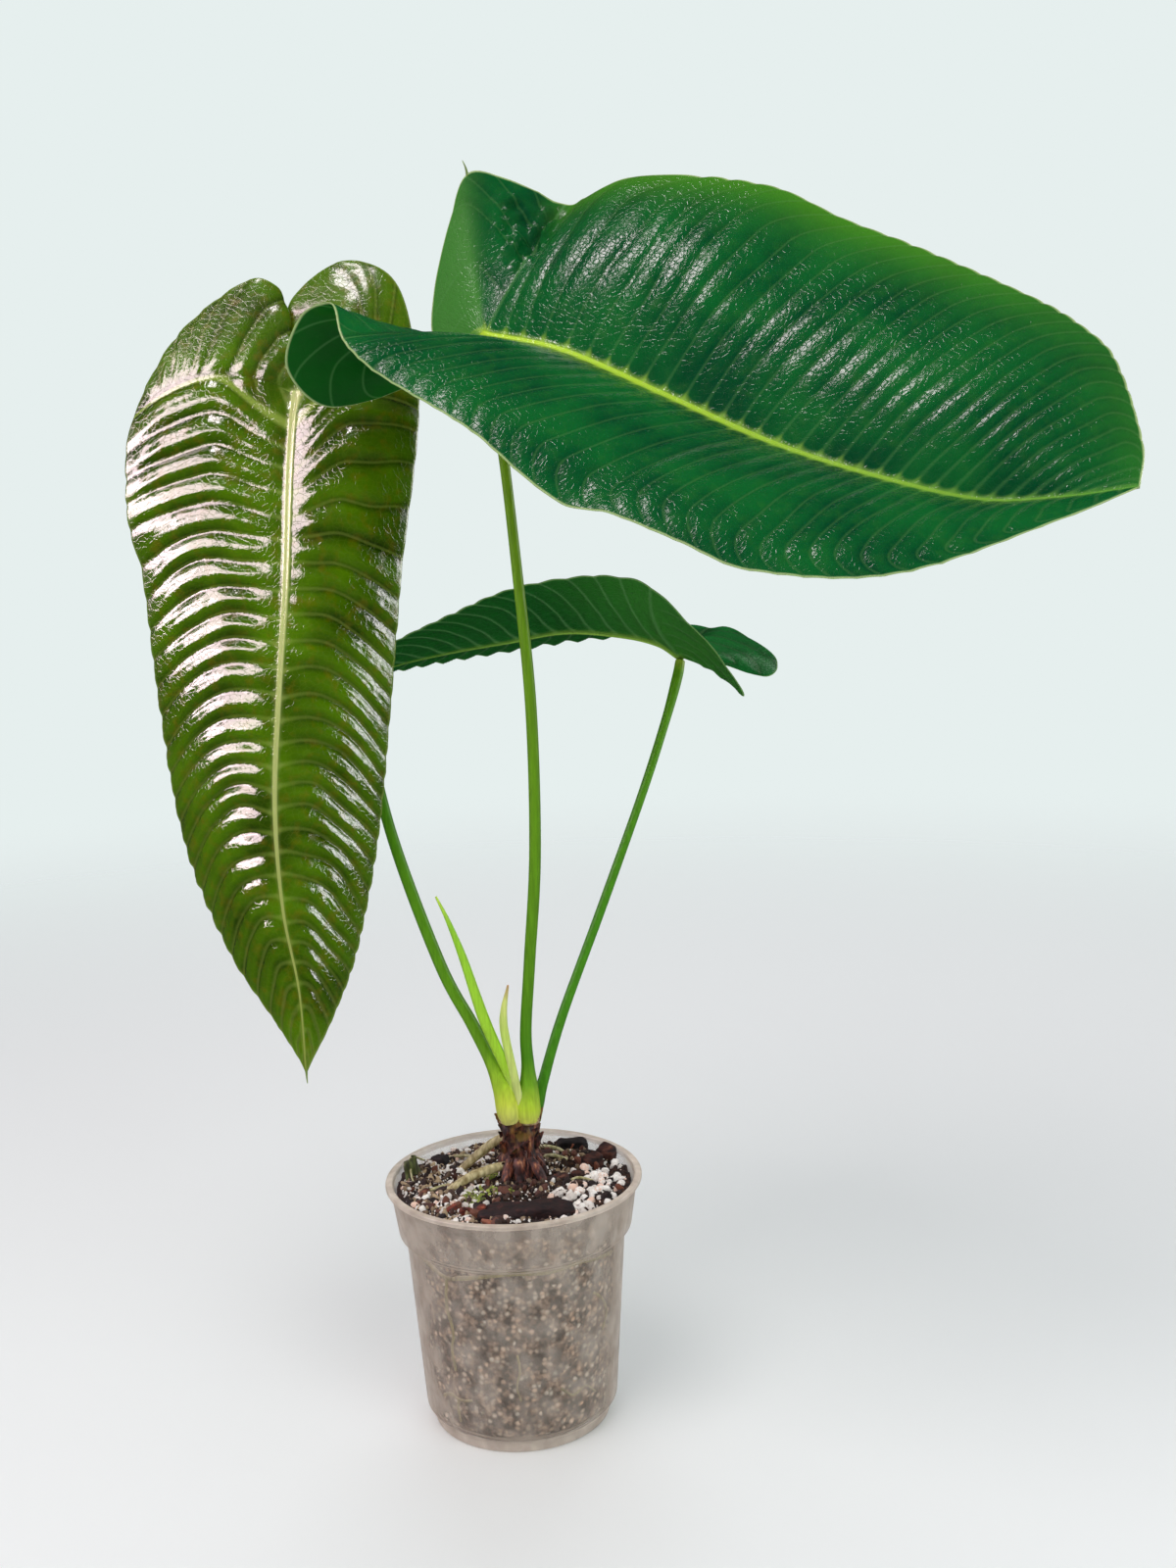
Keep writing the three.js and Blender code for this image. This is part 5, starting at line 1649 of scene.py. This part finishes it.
rightSide = (bearing > -66) * (bearing < 24) * smooth((radius - 24) / 10)
drift = np.clip(rightSide + spotted("drift"), 0, 1) * clearSoil
leftSide = smooth((-hx - 8) / 14)
hostFields = {
    "peatBits": (0.4 + 0.6 * smooth(patch)) * (1 - hollow(hx, hy)),
    "darkBits": smooth(0.5 - patch) * (1 - 0.7 * drift) * (1 - hollow(hx, hy)),
    "perliteDrift": drift,
    "perliteFew": clearSoil * (0.22 + 0.78 * leftSide) * smooth(0.7 + patch) * (1 - drift),
    "perliteDust": clearSoil * (0.35 + 0.65 * leftSide) * smooth(0.8 - patch),
    "barkBits": smooth(0.3 + patch) * (1 - 0.85 * drift) * clearSoil * smooth((fromStem - 14) / 5),
    "paleBits": clearSoil * (0.3 + 0.7 * leftSide + 0.4 * smooth((hy - 14) / 14)) * (1 - drift),
    "mossBits": np.clip(spotted("moss"), 0, 1),
}
hostFaces = []
for ring in range(len(hostRings) - 1):
    for turn in range(hostTurns):
        here, there = ring * hostTurns + turn, ring * hostTurns + (turn + 1) % hostTurns
        hostFaces.append([here, here + hostTurns, there + hostTurns, there])
hostPoints = np.stack([hx, hy, soilTop(hx, hy)], 1)
host = newPiece("soil_top", hostPoints, hostFaces, soilFinish, hostFields)
grainTree = scatterTree()
# What is scattered: each kind has its own places, told by the field of the same name on the host.
scattered = {
    # look, slot, name, grains per square centimetre, least gap, smallest and largest radius,
    # how rugged it is as a share of the largest radius, how deep it sinks and how long it is in radii
    "peatBits": ("peat", "potting_mix", "peat_crumbs", 22, 1.1, 0.4, 1.2, 0.6, 0.1, 1.5),
    "darkBits": ("peat", "potting_mix", "peat_lumps", 4, 2.4, 1.2, 2.4, 0.8, 0.2, 1.5),
    "perliteDrift": ("perlite", "perlite", "perlite_drift", 11, 2.9, 1.4, 2.7, 0.4, -0.6, 1.1),
    "perliteFew": ("perlite", "perlite", "perlite_grains", 17, 1.9, 0.8, 2.1, 0.45, -0.4, 1.1),
    "perliteDust": ("perlite", "perlite", "perlite_dust", 45, 0.9, 0.3, 0.75, 0.3, -0.6, 1.2),
    "barkBits": ("bark", "bark", "bark_bits", 3.6, 3.2, 1.2, 2.6, 0.7, 0.1, 2.1),
    "paleBits": ("pale", "bark", "wood_chips", 16, 1.8, 0.6, 1.5, 0.7, -0.1, 1.9),
    "mossBits": ("moss", "potting_mix", "moss_tufts", 120, 0.8, 0.5, 1.2, 0.5, -0.5, 1.4),
}
perSquareCentimetre = 1e4
firstSeed = 11
for index, (where, kind) in enumerate(scattered.items()):
    look, slot, name, density, gap, small, large, rugged, sink, long = kind
    settings = {
        "Density": density * perSquareCentimetre,
        "Gap": gap * mm,
        "Small": small * mm,
        "Large": large * mm,
        "Rugged": rugged,
        "Sink": sink,
        "Long": long,
        "Where": where,
        "Seed": firstSeed + index,
        "Material": grainFinishes[look],
    }
    grains = grow(host, grainTree, name, settings)
    settle(grains, slot, *(["perlite"] if where == "perliteDrift" else []))
    print(name, "made:", len(grains.data.polygons), "faces")
bpy.data.objects.remove(host)

# Pieces of bark: blocks split along the grain, with rounded corners and torn ends.
chips = {
    # kind of bark, then centre, length, width and height, turn and tilt in degrees
    "front": ("chunk", [6, -38, 110.3], [44, 13, 14.5], 0, 3),
    "rightNear": ("brown", [37, 17, 114.5], [10, 6.5, 8], 25, 8),
    "rightFar": ("brown", [44, 27, 114.5], [8.5, 7, 10], -30, -10),
    "redSlabA": ("red", [-27, -34, 112.0], [8, 2.6, 8], 35, 14),
    "redSlabB": ("red", [-20.5, -37.5, 112.0], [6.5, 2.6, 9], 20, -12),
    "redSlabC": ("red", [-13, -37, 111.5], [5, 3.2, 11], 65, 6),
    "redBlock": ("red", [21, -37.5, 111.5], [11, 4.5, 8], -14, 6),
    "backLump": ("dark", [27, 43, 113.5], [15, 7, 6], 12, -4),
    "backLumpB": ("dark", [-4, 46, 113.0], [9, 6, 5], 70, 6),
    "leftLump": ("dark", [-37, 28, 113.0], [9, 6, 6], -40, 8),
    "leftChip": ("brown", [-41, -14, 113.0], [8, 4.5, 4], 70, 14),
    "leftChipB": ("brown", [-30, 8, 113.0], [6, 4, 3.5], 15, -16),
    "leftChipC": ("brown", [-38, -27, 112.8], [7, 4, 4], -25, 10),
    "midChip": ("brown", [22, 2, 113.2], [8, 4.5, 4], 40, -8),
    "midChipB": ("brown", [30, 6, 113.2], [6, 4, 3.5], -35, 12),
    "backChip": ("brown", [14, 33, 113.0], [8, 4, 4], 5, 8),
}
chipMesh = {"rings": 26, "around": 44, "squareness": 5, "firstSeed": 60}


def block(centre, size, turn, tilt, seed):
    rings, around = chipMesh["rings"], chipMesh["around"]
    profile = [[math.sin(t), -math.cos(t)] for t in np.linspace(0, math.pi, rings)]
    points, faces = turned(profile, around)
    power = chipMesh["squareness"]
    points = points / (np.abs(points) ** power).sum(1)[:, None] ** (1 / power)
    x, y, z = points.T * np.array(size)[:, None] / 2
    split = 1 + 0.5 * noise(x / 9, y / 2.2, z / 2.2, seed) / max(size[1] / 2, 2)
    chip = 1 + 0.09 * noise(x / 3, y / 3, z / 3, seed + 1)
    chip = chip + 0.035 * noise(x / 1.1, y / 1.1, z / 1.1, seed + 2)
    x, y, z = x * chip, y * split * chip, z * split * chip
    turn, tilt = math.radians(turn), math.radians(tilt)
    x, z = x * math.cos(tilt) - z * math.sin(tilt), x * math.sin(tilt) + z * math.cos(tilt)
    x, y = x * math.cos(turn) - y * math.sin(turn), x * math.sin(turn) + y * math.cos(turn)
    return np.stack([x, y, z], 1) + centre, faces


def splitFinish(name, dark, light, bloom):
    # Bark splits in sheets along its length: dark corky layers with paler, redder faces between.
    finish, add, setShader = newFinish(name)
    spot = add("TexCoord").outputs["Object"]
    layered = add("Mapping", {"Vector": spot, "Scale": patternScale(4.167, 4.167, 1.786)}).outputs[0]
    layers = add("TexNoise", {"Vector": layered, "Scale": 1.0, "Detail": 5.0}).outputs[0]
    colour = add("ValToRGB", {0: layers}, stops=[(0.36, dark), (0.6, light), (0.74, bloom)]).outputs[0]
    bump = add("Bump", {"Height": layers, "Distance": 0.9 * mm, "Strength": 0.9}).outputs[0]
    setShader({"Base Color": colour, "Normal": bump, "Roughness": 0.82, "Specular IOR Level": 0.35})
    return finish


barkKinds = {
    "chunk": splitFinish("wet composted bark", "#0b0302", "#240b05", "#481a0e"),
    "brown": splitFinish("pine bark", "#1a0c08", "#4a2519", "#7a4a36"),
    "red": splitFinish("fresh split bark", "#2c0f08", "#7a2f1a", "#b25a3a"),
    "dark": splitFinish("charred bark", "#040303", "#15100d", "#3a2f28"),
}
for kind, finish in barkKinds.items():
    shapes = [
        block(centre, size, turn, tilt, chipMesh["firstSeed"] + 3 * i)
        for i, (made, centre, size, turn, tilt) in enumerate(chips.values())
        if made == kind
    ]
    points, faces = joined(shapes)
    piece = newPiece(kind + "_bark", points, faces, finish)
    settle(piece, "bark", *(["bark_chunk"] if kind == "chunk" else []))
print("bark made")

# Roots that have grown against the wall, as [bearing in degrees, height] with the radius at each end.
wallRoots = {
    "wall_root": (
        [
            *([190, 86], [214, 88], [232, 84.5], [250, 87.5], [269, 90]),
            *([290, 89], [306, 90], [320, 88], [335, 86]),
        ],
        1.5,
        1.1,
    ),
    "left_down": ([[232, 84], [230, 70], [233, 58], [231, 48], [232, 38]], 0.9, 0.7),
    "left_fork": ([[219, 22], [226, 24.5], [234, 23.5], [242, 25]], 0.9, 0.6),
    "left_fork_down": ([[232, 24], [231, 18], [232, 12]], 0.8, 0.5),
    "middle_down": ([[271, 50], [272, 42], [270, 34], [272, 27]], 0.6, 0.4),
    "right_loop": ([[318, 72], [326, 66], [331, 58], [327, 50]], 0.8, 0.5),
    "right_low": ([[296, 30], [304, 25], [313, 27], [322, 21]], 0.7, 0.4),
    "back_a": ([[20, 82], [48, 78], [75, 84], [104, 79], [130, 83]], 1.1, 0.7),
    "back_b": ([[62, 60], [66, 46], [60, 34], [68, 20]], 0.8, 0.5),
    "back_c": ([[140, 62], [150, 52], [146, 40], [155, 28]], 0.8, 0.5),
}
shapes = []
for path, thick, thin in wallRoots.values():
    line = through([[i, *row] for i, row in enumerate(path)])
    at = line(np.linspace(0, len(path) - 1, 4 * len(path)))
    radii = np.linspace(thick, thin, len(at))
    out = np.interp(at[:, 1], inside[:, 1], inside[:, 0]) - radii - 0.15
    bearing = np.radians(at[:, 0])
    rows = np.stack([out * np.cos(bearing), out * np.sin(bearing), at[:, 1], radii], 1)
    shapes.append(tube(rows.tolist(), 10, 8 * len(path)))
points, faces = joined(shapes)
wallRootFinish = barkFinish("living root", "#6d6438", "#a59a66", 0.6)
settle(newPiece("wall_roots", points, faces, wallRootFinish), "root", "wall_root")

# A dead leaf scrap by the left rim.
scrap = {
    "foot": [-47, 12, 109.5],
    "width": 17,
    "height": 13,
    "thickness": 0.4,
    "curl": 3.4,
    "lean": -0.15,
    "turn": 72,
    "steps": 22,
}


def scrapSheet():
    steps = scrap["steps"]
    share = np.linspace(-1, 1, steps + 1)
    u, w = (a.ravel() for a in np.meshgrid(share, (share + 1) / 2, indexing="ij"))
    half = scrap["width"] / 2 * (1 - 0.5 * w**2) * (1 + 0.08 * np.sin(9 * w))
    bend = scrap["curl"] * (u**2 - 0.4) + 0.6 * noise(u * 2, w * 3, 0, 71)
    along = u * half
    turn = math.radians(scrap["turn"])
    x = along * math.cos(turn) - bend * math.sin(turn)
    y = along * math.sin(turn) + bend * math.cos(turn)
    z = w * scrap["height"] * (1 - 0.12 * u**2)
    front = np.stack([x + scrap["lean"] * z, y, z], 1) + scrap["foot"]
    side = steps + 1
    cells = [i * side + j for i in range(steps) for j in range(steps)]
    return front, [[cell, cell + side, cell + side + 1, cell + 1] for cell in cells]


points, faces = scrapSheet()
scrapFinish = barkFinish("dead leaf", "#24260c", "#5c6628", 0.6)
piece = newPiece("leaf_scrap", points, faces, scrapFinish)
wall = piece.modifiers.new("thickness", "SOLIDIFY")
wall.thickness = scrap["thickness"] * mm
settle(piece, "leaf_bronze")

# Loose pale roots on the soil. The first one lies over the scrap.
looseRoots = [
    [
        *([-45, 30, 113, 0.5], [-49, 22, 118, 0.6], [-50, 14, 119.5, 0.6]),
        *([-49, 6, 116, 0.5], [-47, 1, 112, 0.4]),
    ],
    [[10, 42, 113, 0.9], [14, 38, 115, 1.0], [20, 36, 114.5, 0.9], [25, 33, 112.5, 0.6]],
    [[12, 30, 113, 0.8], [18, 26, 115, 0.9], [25, 24, 113.5, 0.7]],
    [[-30, -2, 113.5, 0.7], [-35, -8, 114.4, 0.8], [-42, -10, 113.2, 0.6]],
    [[-16, 24, 113.5, 0.8], [-24, 30, 114.6, 0.8], [-34, 33, 113, 0.6]],
    [[24, -6, 113.5, 0.6], [30, -2, 114.6, 0.7], [37, -3, 113.4, 0.5]],
]
points, faces = joined([tube(rows, 9, 26) for rows in looseRoots])
looseFinish = barkFinish("dried root", "#8a8450", "#d2caa0", 0.7)
settle(newPiece("loose_roots", points, faces, looseFinish), "root")
print("roots and scraps made")

low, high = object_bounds()
